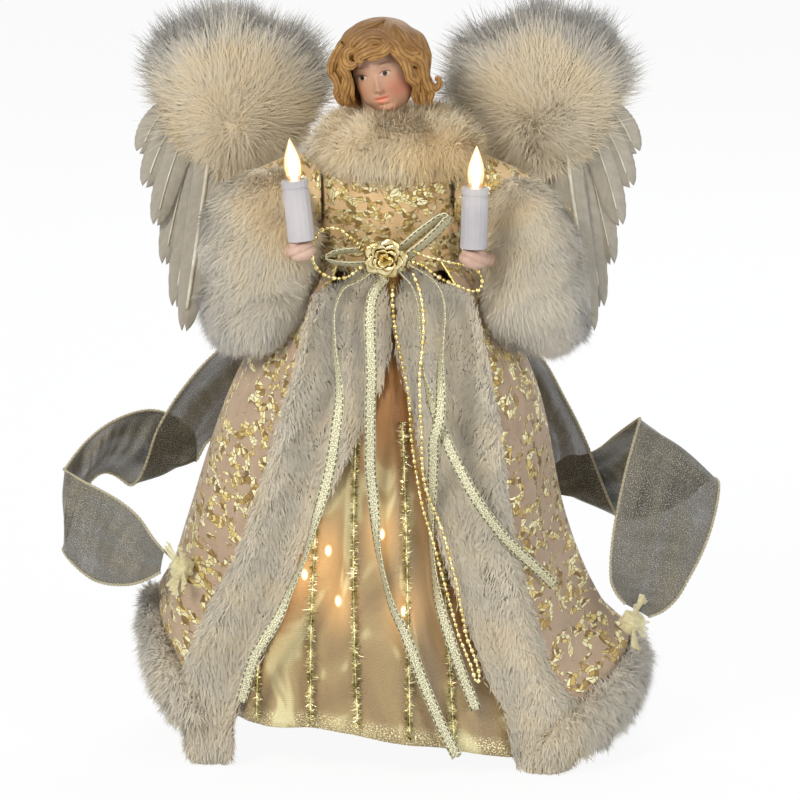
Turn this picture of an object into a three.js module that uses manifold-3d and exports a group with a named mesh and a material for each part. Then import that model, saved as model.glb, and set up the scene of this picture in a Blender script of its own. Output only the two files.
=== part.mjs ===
// Angel tree topper: a lighted fabric figure on a stiff cone that slips over the top of a tree.
// Millimetres, +Z up, the figure faces -Y, and z = 0 is the lowest fur of the coat.
// Left and right are the viewer's. Angles round the skirts are in degrees, 0 at the front and
// positive towards the viewer's right.
import * as THREE from 'three';
import { mergeVertices } from 'three/addons/utils/BufferGeometryUtils.js';
import Module from 'manifold-3d';

const wasm = await Module();
wasm.setup();

// Clearances and the overrun of every cut
const seam = 0.3;
const runningGap = 0.5;
const overrun = 2;
// How far behind the cone's axis the middle of the object's box lies
const boxMiddleY = 8.6;

// Stiff cone, its tree tube and its two spacer discs
const cone = { bottomRadius: 46, topRadius: 11, bottomZ: 20, topZ: 193, wall: 1.5, sides: 24 };
const treeTube = { bore: 30, wall: 1.6, bottomZ: 26, topGap: 2.6, sides: 20 };
const spacerDisc = { thickness: 2, sides: 24 };

// Skirt lamps in the cone's wall
const lamp = {
  holderRadius: 3.2, holderLength: 13, holderInside: 7, bulbRadius: 2.5, bulbLength: 10,
  stemRadius: 1.9, stemLength: 5, boreDepth: 6, tiltAngle: 50, sides: 6,
};
const wire = { diameter: 1.7, turn: 40, sides: 5, steps: 44 };
// Where each lamp sits: its angle, and its height as a share of the cone's height
const lampPlaces = [
  { angle: -48, heightShare: 0.35 }, { angle: -33, heightShare: 0.41 }, { angle: -20, heightShare: 0.27 },
  { angle: -3, heightShare: 0.46 }, { angle: 12, heightShare: 0.29 }, { angle: 95, heightShare: 0.37 },
  { angle: 180, heightShare: 0.37 }, { angle: -115, heightShare: 0.37 },
];

// Torso form, bodice and head
const torso = {
  bottomZ: 193.4, topZ: 240, halfWidth: 23, halfDepth: 15, plugRadius: 9, plugLength: 14,
  leadBore: 3, sides: 16,
};
const bodice = { bottomZ: 206, topZ: 249, halfWidth: 29, halfDepth: 21, armholeX: 28, sides: 18 };
// Rings from the bottom up: height, half width and half depth, as shares
const torsoShares = [[0, 0.86, 0.86], [0.45, 0.94, 0.96], [0.8, 1, 1], [1, 0.78, 0.8]];
const bodiceShares = [
  [0, 0.96, 0.95], [0.25, 0.95, 0.96], [0.5, 1, 1.04], [0.8, 1, 0.96], [0.93, 0.9, 0.82], [1, 0.64, 0.62],
];
const head = {
  plateRadius: 14, plateHeight: 4, neckRadius: 8, neckLength: 27.5, height: 37.5,
  faceHalfWidth: 12.5, faceHalfDepth: 12, faceHeightShare: 0.76, faceY: -7.5, faceX: -2,
  hairHalfWidth: 20, hairHalfDepth: 20, hairHeightShare: 0.987, hairY: 2,
  lean: -14, turn: -8, sides: 14, rows: 9, curlSides: 8, curlRows: 6,
};
// Curls round the face: shares of the hair's half sizes from its centre, and a share of its half width
const curlShares = [
  { x: -0.82, y: -0.35, z: -0.45, radius: 0.34 }, { x: -0.84, y: -0.28, z: -0.78, radius: 0.27 },
  { x: -0.62, y: -0.72, z: -0.02, radius: 0.3 }, { x: 0.66, y: -0.5, z: -0.36, radius: 0.34 },
  { x: 0.74, y: -0.32, z: -0.76, radius: 0.28 }, { x: 1.02, y: -0.22, z: -0.3, radius: 0.18 },
  { x: 0.1, y: -0.86, z: 0.34, radius: 0.3 }, { x: -0.32, y: -0.88, z: 0.3, radius: 0.28 },
];
const collar = {
  innerRadius: 13, outerRadius: 36, bodiceOverlap: 7, chinGap: 1, depthShare: 0.8, offsetX: 4, sides: 18,
};
// Section of the collar's ring: shares of the way out and of the way up
const collarShares = [
  [0, 0.3], [0.6, 0.1], [0.8, 0], [0.95, 0.1], [1, 0.35],
  [0.8, 0.68], [0.45, 0.92], [0.2, 1], [0, 0.85], [0, 0.3],
];

// Arms: shoulder pivot, sleeve, cuff, hand and candle
const shoulder = { x: 28, y: 2, z: 232.5, radius: 14.5 };
const sleeve = { elbowX: 66, elbowY: 2, elbowZ: 216, elbowRadius: 12, sides: 12 };
// Rings of a sleeve between shoulder and elbow: shares of the way out and down, radius share and facing
const upperSleeve = [
  { outShare: 0.35, downShare: 0, radiusShare: 1, facing: [1, 0, -0.1] },
  { outShare: 0.75, downShare: 0.5, radiusShare: 0.9, facing: [1, -0.2, -0.7] },
];
// Directions that a sleeve's rings face at the elbow and at its end
const elbowFacing = [0.35, -0.4, -1];
const sleeveEndFacing = [-0.3, -0.7, -1];
const armWire = { diameter: 2, foreShare: 0.8, sides: 6, steps: 16 };
const hand = {
  x: 34.5, y: -45, halfWidth: 6.3, halfDepth: 5.8, halfHeight: 6, seatShare: 0.62, wristRadius: 3,
  wristShare: 0.7, wristDrop: 5, wristSteps: 3, sides: 10,
};
const candle = {
  leftBaseZ: 219.5, rightBaseZ: 216.3, radius: 5.4, wall: 1.2, height: 24.5, capHeight: 4,
  leftLean: -6.4, rightLean: 1.6, grooveDepth: 0.4, grooveHeight: 1, sides: 16,
};
const socket = { radius: 3.9, length: 15, bore: 2.7, boreDepth: 10, sides: 12 };
const bulb = { baseRadius: 2.3, baseLength: 8, radius: 3.7, glassLength: 17, sides: 12 };
// Flame-shaped glass: shares of its length and radius
const glassShares = [[0.12, 0.86], [0.32, 1], [0.55, 0.86], [0.75, 0.52], [0.92, 0.2], [1, 0]];
const cuff = {
  leftX: 54, rightX: 60, y: -19, topZ: 240, bottomZ: 167, halfWidth: 24, halfDepth: 21,
  topInset: 5.8, bottomOutset: 2.6, sleeveEndShare: 0.55, sides: 12, coatSides: 24,
};
// Rings of a cuff from the top down: shares of the way down, half width and half depth
const cuffShares = [
  [0, 0.3, 0.28], [0.1, 0.66, 0.66], [0.3, 0.87, 0.9], [0.55, 0.98, 1], [0.76, 1, 0.98], [0.92, 0.76, 0.76],
  [1, 0.4, 0.4],
];
// Ways down the coat at which its bulk is taken, to keep the cuffs clear of it
const coatBulkShares = [0, 0.05, 0.12, 0.22, 0.34, 0.5];

// Skirts: a coat over a satin underskirt
const cloth = { thickness: 1.2 };
const coat = {
  waistZ: 205.7, hemHalfWidth: 100, hemDepth: 76, foldDepth: 3.2, folds: 9, columns: 44, rows: 6,
};
const satin = {
  waistZ: 203, widthShare: 0.84, depthShare: 0.895, highestHemZ: 20, foldDepth: 2.4, folds: 10,
  columns: 40, rows: 5,
};
const floorCut = 0.5;
const furHem = {
  halfHeight: 14, halfThickness: 8, liftHeight: 36.5, standOff: 4, endAngle: 1.2, sides: 8, steps: 28,
};
const furBand = {
  leftHalfWidth: 12, rightHalfWidth: 10, halfThickness: 5, standOff: 1.5, seatShare: 0.88, topZ: 197,
  sides: 8, steps: 16,
};
// Sizes of the first rings of a puffy strip, counted from either end
const endShares = [0.5, 0.88];

// Gold trim of the skirt front
const tinsel = { diameter: 2, hemShare: 0.985, sides: 6, steps: 9 };
const ribbon = { width: 4.6, thickness: 0.6, steps: 34 };
const bead = { diameter: 1.8, stepDiameters: 2.6, sides: 8 };
const bow = {
  loopWidth: 6, loopThickness: 1, loopHeight: 5, reach: 20, leftRise: 0, rightRise: 17,
  tipForward: 3, seatShare: 0.62, tiltShare: 0.25, steps: 12,
};
const rose = {
  radius: 9.5, depth: 7, x: -1, y: -29.6, z: 209.5, petals: 5, lobeShare: 0.1, heightShare: 0.85,
  sides: 20,
};
// Layers of the rose from its stem's end forwards: shares of its depth and radius, and of a turn
const roseShares = [
  [-1.31, 0.25, 0], [0, 0.25, 0], [0, 0.6, 0], [0.28, 1, 0], [0.45, 0.82, 0],
  [0.5, 0.66, 0.5], [0.8, 0.55, 0.5], [0.84, 0.34, 0], [1, 0.22, 0],
];

// Organza ribbons and their knots
const organza = { width: 38, thickness: 0.6, steps: 38 };
const knot = { radius: 6, depthShare: 0.7, sides: 10, rows: 7 };

// Wings: a card with hanging quill feathers, and the marabou fluff that wraps it
const wing = {
  cardThickness: 2, cardY: 33, hingeX: 12, hingeZ: 229, halfWidth: 40, halfHeight: 37, reachShare: 1.3,
  riseShare: 1.027, fluffHalfDepth: 12.5, sides: 16,
};
const bracket = {
  halfWidth: 17, height: 26, thickness: 2, pinRadius: 1.3, knuckleWall: 1.2, knuckleHeight: 12,
  earThickness: 2, sides: 16,
};

// Middle of a wing, out and up from its hinge
const wingCentreX = wing.hingeX + wing.halfWidth * wing.reachShare;
const wingCentreZ = wing.hingeZ + wing.halfHeight * wing.riseShare;

// Heights of the head's chin and of its top
const chinZ = torso.topZ + head.neckLength;
const headTopZ = chinZ + head.height;

// Greatest reach of the bodice to its front and back, and the bracket's own back behind it
const bodiceReach = bodice.halfDepth * Math.max(...bodiceShares.map(([, , depthShare]) => depthShare));
const bracketBackY = bodiceReach + seam + bracket.thickness;

// Shares of the way down a skirt, with shares of its hem's half width or depth
const coatLeftShares = [[0, 0.29], [0.05, 0.37], [0.22, 0.53], [0.43, 0.68], [0.78, 0.85], [1, 0.95]];
const coatRightShares = [
  [0, 0.29], [0.05, 0.39], [0.2, 0.52], [0.38, 0.63], [0.7, 0.73], [0.92, 0.87], [1, 1],
];
const coatDepthShares = [[0, 0.3], [0.05, 0.42], [0.4, 0.67], [0.75, 0.86], [1, 1]];
const satinShares = [[0, 0.264], [0.08, 0.32], [0.47, 0.62], [0.8, 0.86], [1, 1]];
// Angle round the coat, with a share of how far its fur hem is lifted there
const hemLiftShares = [
  [-180, 0], [-130, 0.35], [-105, 0.85], [-90, 1], [-72, 0.64], [-53, 0.22], [-44, 0.04],
  [38, 0.02], [57, 0.18], [75, 0.4], [90, 0.53], [110, 0.4], [140, 0.1], [180, 0],
];
// Share of the way down, with the angle of the coat's front edge there
const leftEdgeAngles = [[0, -44], [0.22, -36], [0.6, -40], [0.87, -49], [1, -55]];
const rightEdgeAngles = [[0, 49], [0.38, 40], [0.55, 38.5], [0.8, 41], [1, 41]];
// Angle round the satin, with its hem's height as a share of the satin's highest hem
const satinHemShares = [
  [-180, 0.6], [-60, 0.9], [-45, 1], [-10, 0.95], [20, 0.55], [40, 0.3], [90, 0.5], [180, 0.6],
];

function material(color, roughness, metalness = 0) {
  return new THREE.MeshStandardMaterial({ color, roughness, metalness });
}

const materials = {
  card: material(0xe9e2d2, 0.8),
  wire: material(0x3c5a3c, 0.6),
  lampGlass: material(0xfff0b8, 0.1),
  stuffing: material(0xeee6d6, 0.95),
  resin: material(0xe2a886, 0.5),
  handResin: material(0xc59b89, 0.55),
  brocade: material(0xd9bd92, 0.6),
  satin: material(0xd8ab6c, 0.35),
  fur: material(0xe3d3b6, 1),
  fluff: material(0xe8dfc8, 1),
  feather: material(0xe6e4de, 0.6),
  whitePlastic: material(0xf4f4f8, 0.4),
  gold: material(0xd8c078, 0.3, 0.9),
  tape: material(0xd9d2a0, 0.4, 0.6),
  organza: material(0x8d8672, 0.5),
  knot: material(0xefe6b8, 0.6),
  steel: material(0x9a9a98, 0.4, 0.8),
};

const part = new THREE.Group();

// Names a piece, gives it its material and hangs it in the model or in one of its groups
function add(name, geometry, look, parent = part) {
  const mesh = new THREE.Mesh(geometry, look);
  mesh.name = name;
  parent.add(mesh);
  return mesh;
}

const radians = THREE.MathUtils.degToRad;

// Smooth curve through a table of pairs, held level past its ends
function along(table, at) {
  const last = table.length - 1;
  if (at <= table[0][0]) return table[0][1];
  if (at >= table[last][0]) return table[last][1];
  const i = table.findIndex((pair, k) => k < last && at < table[k + 1][0]);
  const slope = (k) => {
    const before = table[Math.max(k - 1, 0)];
    const after = table[Math.min(k + 1, last)];
    return (after[1] - before[1]) / (after[0] - before[0]);
  };
  const span = table[i + 1][0] - table[i][0];
  const t = (at - table[i][0]) / span;
  const rise = table[i + 1][1] - table[i][1];
  const leave = slope(i) * span;
  const arrive = slope(i + 1) * span;
  const bend = t * t * (3 * rise - 2 * leave - arrive) + t * t * t * (leave + arrive - 2 * rise);
  return table[i][1] + t * leave + bend;
}

// Closed mesh from points and triangles, turned so that its faces point out
function closedMesh(points, triangles) {
  let volume = 0;
  for (const [a, b, c] of triangles) {
    volume += points[a].dot(new THREE.Vector3().crossVectors(points[b], points[c]));
  }
  const index = triangles.flatMap(([a, b, c]) => (volume > 0 ? [a, b, c] : [a, c, b]));
  const geometry = new THREE.BufferGeometry();
  const coordinates = points.flatMap((p) => [p.x, p.y, p.z]);
  geometry.setAttribute('position', new THREE.Float32BufferAttribute(coordinates, 3));
  geometry.setIndex(index);
  return geometry;
}

// Skin through closed rings of equal point counts, with a fan over each end
function loft(rings) {
  const sides = rings[0].length;
  const points = rings.flat();
  const triangles = [];
  for (let i = 0; i < rings.length - 1; i += 1) {
    for (let j = 0; j < sides; j += 1) {
      const next = (j + 1) % sides;
      const [here, above] = [i * sides, (i + 1) * sides];
      const [a, b, c, d] = [here + j, here + next, above + j, above + next];
      triangles.push([a, b, d], [a, d, c]);
    }
  }
  const ends = [[rings[0], 0, false], [rings.at(-1), (rings.length - 1) * sides, true]];
  for (const [ring, start, forward] of ends) {
    const centre = ring.reduce((sum, p) => sum.add(p), new THREE.Vector3()).divideScalar(sides);
    const middle = points.push(centre) - 1;
    for (let j = 0; j < sides; j += 1) {
      const [a, b] = [start + j, start + ((j + 1) % sides)];
      triangles.push(forward ? [a, b, middle] : [b, a, middle]);
    }
  }
  return closedMesh(points, triangles);
}

// Sheet of cloth between an outer and an inner grid of points; wraps joins its last column to its first
function sheet(outer, inner, wraps) {
  const rows = outer.length;
  const columns = outer[0].length;
  const points = [...outer.flat(), ...inner.flat()];
  const inside = rows * columns;
  const triangles = [];
  const quad = (a, b, c, d) => triangles.push([a, b, c], [a, c, d]);
  const lastColumn = wraps ? columns : columns - 1;
  for (let j = 0; j < lastColumn; j += 1) {
    const next = (j + 1) % columns;
    for (let i = 0; i < rows - 1; i += 1) {
      const [here, below] = [i * columns, (i + 1) * columns];
      const [a, b, c, d] = [here + j, here + next, below + next, below + j];
      quad(a, b, c, d);
      quad(inside + d, inside + c, inside + b, inside + a);
    }
    const bottom = (rows - 1) * columns;
    quad(inside + j, inside + next, next, j);
    quad(bottom + j, bottom + next, inside + bottom + next, inside + bottom + j);
  }
  for (let i = 0; i < rows - 1 && !wraps; i += 1) {
    const [a, b] = [i * columns, (i + 1) * columns];
    quad(a, b, inside + b, inside + a);
    const far = columns - 1;
    quad(b + far, a + far, inside + a + far, inside + b + far);
  }
  return closedMesh(points, triangles);
}

// Level oval ring
function oval(x, y, z, halfWidth, halfDepth, sides) {
  return Array.from({ length: sides }, (unused, i) => {
    const turn = (2 * Math.PI * i) / sides;
    return new THREE.Vector3(x + halfWidth * Math.cos(turn), y + halfDepth * Math.sin(turn), z);
  });
}

const smooth = (points) => new THREE.CatmullRomCurve3(points, false, 'centripetal');
const vectors = (table) => table.map((point) => new THREE.Vector3(...point));

// Round tube along a smooth curve through its points
function tube(points, diameter, sides, steps) {
  const ring = oval(0, 0, 0, diameter / 2, diameter / 2, sides);
  const section = new THREE.Shape(ring.map((p) => new THREE.Vector2(p.x, p.y)));
  return new THREE.ExtrudeGeometry(section, { steps, bevelEnabled: false, extrudePath: smooth(points) });
}

// Thin strip between two rows of edge points
function strip(edges, thickness) {
  const last = edges.length - 1;
  const middle = (i) => edges[i][0].clone().lerp(edges[i][1], 0.5);
  return loft(edges.map(([a, b], i) => {
    const ahead = middle(Math.min(i + 1, last)).sub(middle(Math.max(i - 1, 0)));
    const out = new THREE.Vector3().crossVectors(ahead, b.clone().sub(a)).setLength(thickness / 2);
    return [a.clone().add(out), b.clone().add(out), b.clone().sub(out), a.clone().sub(out)];
  }));
}

// Flat tape along a smooth curve; acrossAt gives the direction of its width from the curve's own
function tape(points, acrossAt, width, thickness, steps) {
  const path = smooth(points);
  return strip(Array.from({ length: steps + 1 }, (unused, i) => {
    const middle = path.getPoint(i / steps);
    const across = acrossAt(path.getTangent(i / steps)).setLength(width / 2);
    return [middle.clone().sub(across), middle.clone().add(across)];
  }), thickness);
}

// Ball-like solid with its own half sizes
function ellipsoid(halfWidth, halfDepth, halfHeight, sides, rows) {
  const ball = new THREE.SphereGeometry(1, sides, rows).rotateX(Math.PI / 2);
  return ball.scale(halfWidth, halfDepth, halfHeight);
}

// Turned solid about Z from a profile of radius and height
function turned(profile, sides) {
  const outline = profile.map(([radius, height]) => new THREE.Vector2(radius, height));
  return new THREE.LatheGeometry(outline, sides).rotateX(Math.PI / 2);
}

function roundBar(radius, bottom, top, sides) {
  return turned([[0, bottom], [radius, bottom], [radius, top], [0, top]], sides);
}

function box(low, high) {
  const size = high.map((value, i) => value - low[i]);
  return new THREE.BoxGeometry(...size).translate(...low.map((value, i) => value + size[i] / 2));
}

// A closed geometry as a solid that can be joined and cut
function solid(geometry) {
  const bare = geometry.clone();
  bare.deleteAttribute('normal');
  bare.deleteAttribute('uv');
  const merged = mergeVertices(bare);
  const triVerts = [];
  for (let i = 0; i < merged.index.count; i += 3) {
    const corners = [merged.index.getX(i), merged.index.getX(i + 1), merged.index.getX(i + 2)];
    if (new Set(corners).size === 3) triVerts.push(...corners);
  }
  const vertProperties = new Float32Array(merged.attributes.position.array);
  const triangles = new Uint32Array(triVerts);
  return new wasm.Manifold(new wasm.Mesh({ numProp: 3, vertProperties, triVerts: triangles }));
}

function geometryOf(body) {
  const mesh = body.getMesh();
  const geometry = new THREE.BufferGeometry();
  geometry.setAttribute('position', new THREE.Float32BufferAttribute(mesh.vertProperties, 3));
  geometry.setIndex(Array.from(mesh.triVerts));
  return geometry;
}

function cut(geometry, ...tools) {
  return geometryOf(tools.reduce((body, tool) => body.subtract(solid(tool)), solid(geometry)));
}

function joined(first, ...others) {
  return geometryOf(others.reduce((body, other) => body.add(solid(other)), solid(first)));
}

// Everything below the table, cut off soft pieces that stand on it
function belowTable() {
  const reach = 2 * coat.hemHalfWidth;
  return box([-reach, -reach, -furHem.halfHeight], [reach, reach, 0]);
}

// Level direction out of an oval at an angle
function ovalNormal(angle, halfWidth, depth) {
  const turn = radians(angle);
  return new THREE.Vector3(Math.sin(turn) / halfWidth, -Math.cos(turn) / depth, 0).normalize();
}

// Length along an oval of one degree at an angle
function ovalDegree(angle, halfWidth, depth) {
  const turn = radians(angle);
  return radians(Math.hypot(halfWidth * Math.cos(turn), depth * Math.sin(turn)));
}

// Point at an angle on an oval, moved out from it by a distance
function ovalPoint(angle, halfWidth, depth, z, out = 0) {
  const turn = radians(angle);
  const point = new THREE.Vector3(halfWidth * Math.sin(turn), -depth * Math.cos(turn), z);
  return point.addScaledVector(ovalNormal(angle, halfWidth, depth), out);
}

const between = THREE.MathUtils.lerp;

function hemMiddleZ(angle) {
  return furHem.halfHeight - floorCut + furHem.liftHeight * along(hemLiftShares, angle);
}

function coatHemZ(angle) {
  return hemMiddleZ(angle) + furHem.halfHeight + seam;
}

// Half width and depth of the coat at an angle and a share of the way down
function coatSize(angle, down) {
  const side = Math.sin(radians(angle)) < 0 ? coatLeftShares : coatRightShares;
  return [coat.hemHalfWidth * along(side, down), coat.hemDepth * along(coatDepthShares, down)];
}

// Point on the coat's outer face without its folds
function coatPoint(angle, down, out = 0) {
  return ovalPoint(angle, ...coatSize(angle, down), between(coat.waistZ, coatHemZ(angle), down), out);
}

function coatFold(angle, down) {
  return coat.foldDepth * down * down * Math.sin(radians(angle * coat.folds));
}

// Point on the satin's outer face
function satinPoint(angle, down, out = 0) {
  const halfWidth = coat.hemHalfWidth * satin.widthShare * along(satinShares, down);
  const depth = coat.hemDepth * satin.depthShare * along(satinShares, down);
  const z = between(satin.waistZ, satin.highestHemZ * along(satinHemShares, angle), down);
  const fold = satin.foldDepth * down * Math.cos(radians(angle * satin.folds));
  return ovalPoint(angle, halfWidth, depth, z, fold + out);
}

function coneRadius(z) {
  return between(cone.bottomRadius, cone.topRadius, (z - cone.bottomZ) / (cone.topZ - cone.bottomZ));
}

// Height at which the cone's outside has a radius
function coneHeight(radius) {
  const up = (cone.bottomRadius - radius) / (cone.bottomRadius - cone.topRadius);
  return between(cone.bottomZ, cone.topZ, up);
}

// Places a geometry made about its own Z axis at a lamp: outwards and upwards from the cone's wall
function atLamp(geometry, place) {
  const z = between(cone.bottomZ, cone.topZ, place.heightShare);
  const foot = ovalPoint(place.angle, coneRadius(z), coneRadius(z), z);
  return geometry.rotateX(radians(90 - lamp.tiltAngle)).rotateZ(radians(place.angle))
    .translate(foot.x, foot.y, foot.z);
}

function makeCone() {
  const shell = turned([
    [cone.bottomRadius - cone.wall, cone.bottomZ], [cone.bottomRadius, cone.bottomZ],
    [cone.topRadius, cone.topZ], [cone.topRadius - cone.wall, cone.topZ],
    [cone.bottomRadius - cone.wall, cone.bottomZ],
  ], cone.sides);
  const holes = lampPlaces.map((place) => atLamp(
    roundBar(lamp.holderRadius + seam, -lamp.holderInside - overrun, lamp.holderLength, lamp.sides), place));
  add('base_cone', cut(shell, ...holes), materials.card);
}

function makeTreeTube() {
  const inner = treeTube.bore / 2;
  const outer = inner + treeTube.wall;
  const top = coneHeight(outer + treeTube.topGap + cone.wall);
  add('tree_tube', turned([
    [inner, treeTube.bottomZ], [outer, treeTube.bottomZ], [outer, top], [inner, top],
    [inner, treeTube.bottomZ],
  ], treeTube.sides), materials.card);
  const lowerZ = treeTube.bottomZ + spacerDisc.thickness;
  const lowerTop = lowerZ + spacerDisc.thickness;
  const hole = outer + seam;
  const reach = coneRadius(lowerTop) - cone.wall - runningGap;
  add('lower_disc', turned([
    [hole, lowerZ], [reach, lowerZ], [reach, lowerTop], [hole, lowerTop], [hole, lowerZ],
  ], spacerDisc.sides), materials.card);
  const stopZ = top + seam;
  const stopTop = stopZ + spacerDisc.thickness;
  const stopReach = coneRadius(stopTop) - cone.wall - runningGap;
  add('stop_disc', roundBar(stopReach, stopZ, stopTop, spacerDisc.sides), materials.card);
}

// Route of the lead round the inside of the cone, through a point on each lamp's own axis
function leadRoute(depth) {
  const stops = lampPlaces.map((place) => {
    const onAxis = new THREE.BufferGeometry().setFromPoints([new THREE.Vector3(0, 0, depth)]);
    const tail = atLamp(onAxis, place);
    const point = new THREE.Vector3().fromBufferAttribute(tail.attributes.position, 0);
    return { angle: (place.angle + 360) % 360, point, radius: Math.hypot(point.x, point.y) };
  }).sort((a, b) => a.angle - b.angle);
  return stops.flatMap((stop, i) => {
    const next = stops[i + 1] ?? stop;
    const count = Math.floor((next.angle - stop.angle) / wire.turn);
    const way = Array.from({ length: count }, (unused, k) => {
      const share = (k + 1) / (count + 1);
      const radius = between(stop.radius, next.radius, share);
      const z = between(stop.point.z, next.point.z, share);
      return ovalPoint(between(stop.angle, next.angle, share), radius, radius, z);
    });
    return [stop.point, ...way];
  });
}

// Lamp holders moulded on one lead inside the cone, and their push-in bulbs
function makeSkirtLamps() {
  const front = lamp.holderLength - lamp.holderInside;
  const back = -lamp.holderInside;
  const throat = lamp.stemRadius + seam;
  const holders = lampPlaces.map((place) => atLamp(turned([
    [0, back], [lamp.holderRadius, back], [lamp.holderRadius, front], [throat, front],
    [throat, front - lamp.boreDepth], [0, front - lamp.boreDepth],
  ], lamp.sides), place));
  const lead = tube(leadRoute(back + wire.diameter / 2), wire.diameter, wire.sides, wire.steps);
  add('light_string', joined(lead, ...holders), materials.wire);
  const seat = front + seam;
  const tip = seat + lamp.bulbLength;
  lampPlaces.forEach((place, k) => {
    const bulbForm = turned([
      [0, seat - lamp.stemLength], [lamp.stemRadius, seat - lamp.stemLength], [lamp.stemRadius, seat],
      [lamp.bulbRadius, seat + lamp.bulbRadius], [lamp.bulbRadius, tip - lamp.bulbRadius], [0, tip],
    ], lamp.sides);
    add(`skirt_bulb_${k + 1}`, atLamp(bulbForm, place), materials.lampGlass);
  });
}

// Upright body of oval rings, grown by a clearance
function ringBody(form, shares, grow) {
  return loft(shares.map(([heightShare, widthShare, depthShare]) => oval(
    0, 0, between(form.bottomZ - grow, form.topZ + grow, heightShare),
    form.halfWidth * widthShare + grow, form.halfDepth * depthShare + grow, form.sides)));
}

const torsoForm = (grow = 0) => ringBody(torso, torsoShares, grow);
const bodiceForm = (grow = 0) => ringBody(bodice, bodiceShares, grow);

function makeTorso() {
  const plugZ = torso.bottomZ - torso.plugLength;
  const plug = roundBar(torso.plugRadius, plugZ, torso.bottomZ + overrun, torso.sides);
  const lead = roundBar(torso.leadBore, plugZ - overrun, shoulder.z, lamp.sides);
  const pins = [-1, 1].map((side) => armPin(side, seam));
  add('torso_form', cut(joined(torsoForm(), plug), lead, ...pins), materials.stuffing);
}

// Straight inner end of an arm's wire, which turns in the torso form
function armPin(side, grow) {
  const pin = roundBar(armWire.diameter / 2 + grow, 0, shoulder.x + overrun, armWire.sides);
  return pin.rotateY(radians(90 * side)).translate(0, shoulder.y, shoulder.z);
}

// Shoulder plate and neck of the head, grown by a clearance
function neckForm(grow = 0) {
  const base = torso.topZ + seam;
  return turned([
    [0, base - grow], [head.plateRadius + grow, base - grow], [head.plateRadius + grow, base + grow],
    [head.neckRadius + grow, base + head.plateHeight + grow],
    [head.neckRadius + grow, chinZ + head.neckRadius], [0, chinZ + head.neckRadius],
  ], head.sides);
}

function makeHead() {
  const hairHalfHeight = (head.height * head.hairHeightShare) / 2;
  const hairZ = headTopZ - hairHalfHeight;
  const hair = ellipsoid(head.hairHalfWidth, head.hairHalfDepth, hairHalfHeight, head.sides, head.rows)
    .translate(0, head.hairY, hairZ);
  const curls = curlShares.map((curl) => {
    const radius = head.hairHalfWidth * curl.radius;
    return ellipsoid(radius, radius, radius, head.curlSides, head.curlRows).translate(
      curl.x * head.hairHalfWidth, head.hairY + curl.y * head.hairHalfDepth, hairZ + curl.z * hairHalfHeight);
  });
  const faceHalfHeight = (head.height * head.faceHeightShare) / 2;
  const face = ellipsoid(head.faceHalfWidth, head.faceHalfDepth, faceHalfHeight, head.sides, head.rows)
    .rotateY(radians(head.lean)).rotateZ(radians(head.turn))
    .translate(head.faceX, head.faceY, chinZ + faceHalfHeight);
  add('head', joined(hair, face, neckForm(), ...curls), materials.resin);
}

// Block past one armhole plane
function pastArmhole(side, gap) {
  const near = side * (bodice.armholeX + gap);
  const far = side * 2 * coat.hemHalfWidth;
  return box([Math.min(near, far), -coat.hemDepth, 0], [Math.max(near, far), coat.hemDepth, headTopZ]);
}

function makeBodice() {
  const sides = [-1, 1].map((side) => pastArmhole(side, 0));
  const pins = [-1, 1].map((side) => armPin(side, seam));
  add('bodice', cut(bodiceForm(), torsoForm(seam), neckForm(seam), ...sides, ...pins), materials.brocade);
}

// Round space that a turning shoulder sweeps
function shoulderSpace(side) {
  const swept = shoulder.radius + runningGap;
  const far = sleeve.elbowX + sleeve.elbowRadius;
  return roundBar(swept, 0, far - shoulder.x, sleeve.sides * 2).rotateY(radians(90 * side))
    .translate(side * (shoulder.x - runningGap), shoulder.y, shoulder.z);
}

// Fur ring from below the bodice's top edge up to the chin
function makeCollar() {
  const bottom = bodice.topZ - collar.bodiceOverlap;
  const top = chinZ - collar.chinGap;
  const profile = collarShares.map(([out, up]) => [
    between(collar.innerRadius, collar.outerRadius, out), between(bottom, top, up),
  ]);
  const ring = turned(profile, collar.sides).scale(1, collar.depthShare, 1).translate(collar.offsetX, 0, 0);
  const spaces = [bodiceForm(seam), neckForm(seam), shoulderSpace(-1), shoulderSpace(1)];
  add('collar_fur', cut(ring, ...spaces), materials.fur);
}

// Sleeve grown by a clearance: from the armhole out to the elbow and forward into the cuff
function sleeveForm(side, grow = 0) {
  const upper = upperSleeve.map(({ outShare, downShare, radiusShare, facing }) => ({
    at: [
      between(shoulder.x, sleeve.elbowX, outShare), shoulder.y, between(shoulder.z, sleeve.elbowZ, downShare),
    ],
    radius: shoulder.radius * radiusShare,
    facing,
  }));
  const endZ = between(cuff.topZ, cuff.bottomZ, cuff.sleeveEndShare);
  const stations = [
    { at: [shoulder.x - overrun, shoulder.y, shoulder.z], radius: shoulder.radius, facing: [1, 0, 0] },
    ...upper,
    { at: [sleeve.elbowX, sleeve.elbowY, sleeve.elbowZ], radius: sleeve.elbowRadius, facing: elbowFacing },
    { at: [cuffX(side), cuff.y / 2, endZ], radius: sleeve.elbowRadius, facing: sleeveEndFacing },
  ];
  const rings = stations.map(({ at, radius, facing }) => {
    const forward = new THREE.Vector3(...facing).normalize();
    const up = new THREE.Vector3(0, 1, 0).addScaledVector(forward, -forward.y).normalize();
    const across = new THREE.Vector3().crossVectors(forward, up);
    const ring = oval(0, 0, 0, radius + grow, radius + grow, sleeve.sides);
    return ring.map(
      (p) => new THREE.Vector3(...at).addScaledVector(up, p.x).addScaledVector(across, p.y));
  });
  return onSide(side, loft(rings));
}

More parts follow.
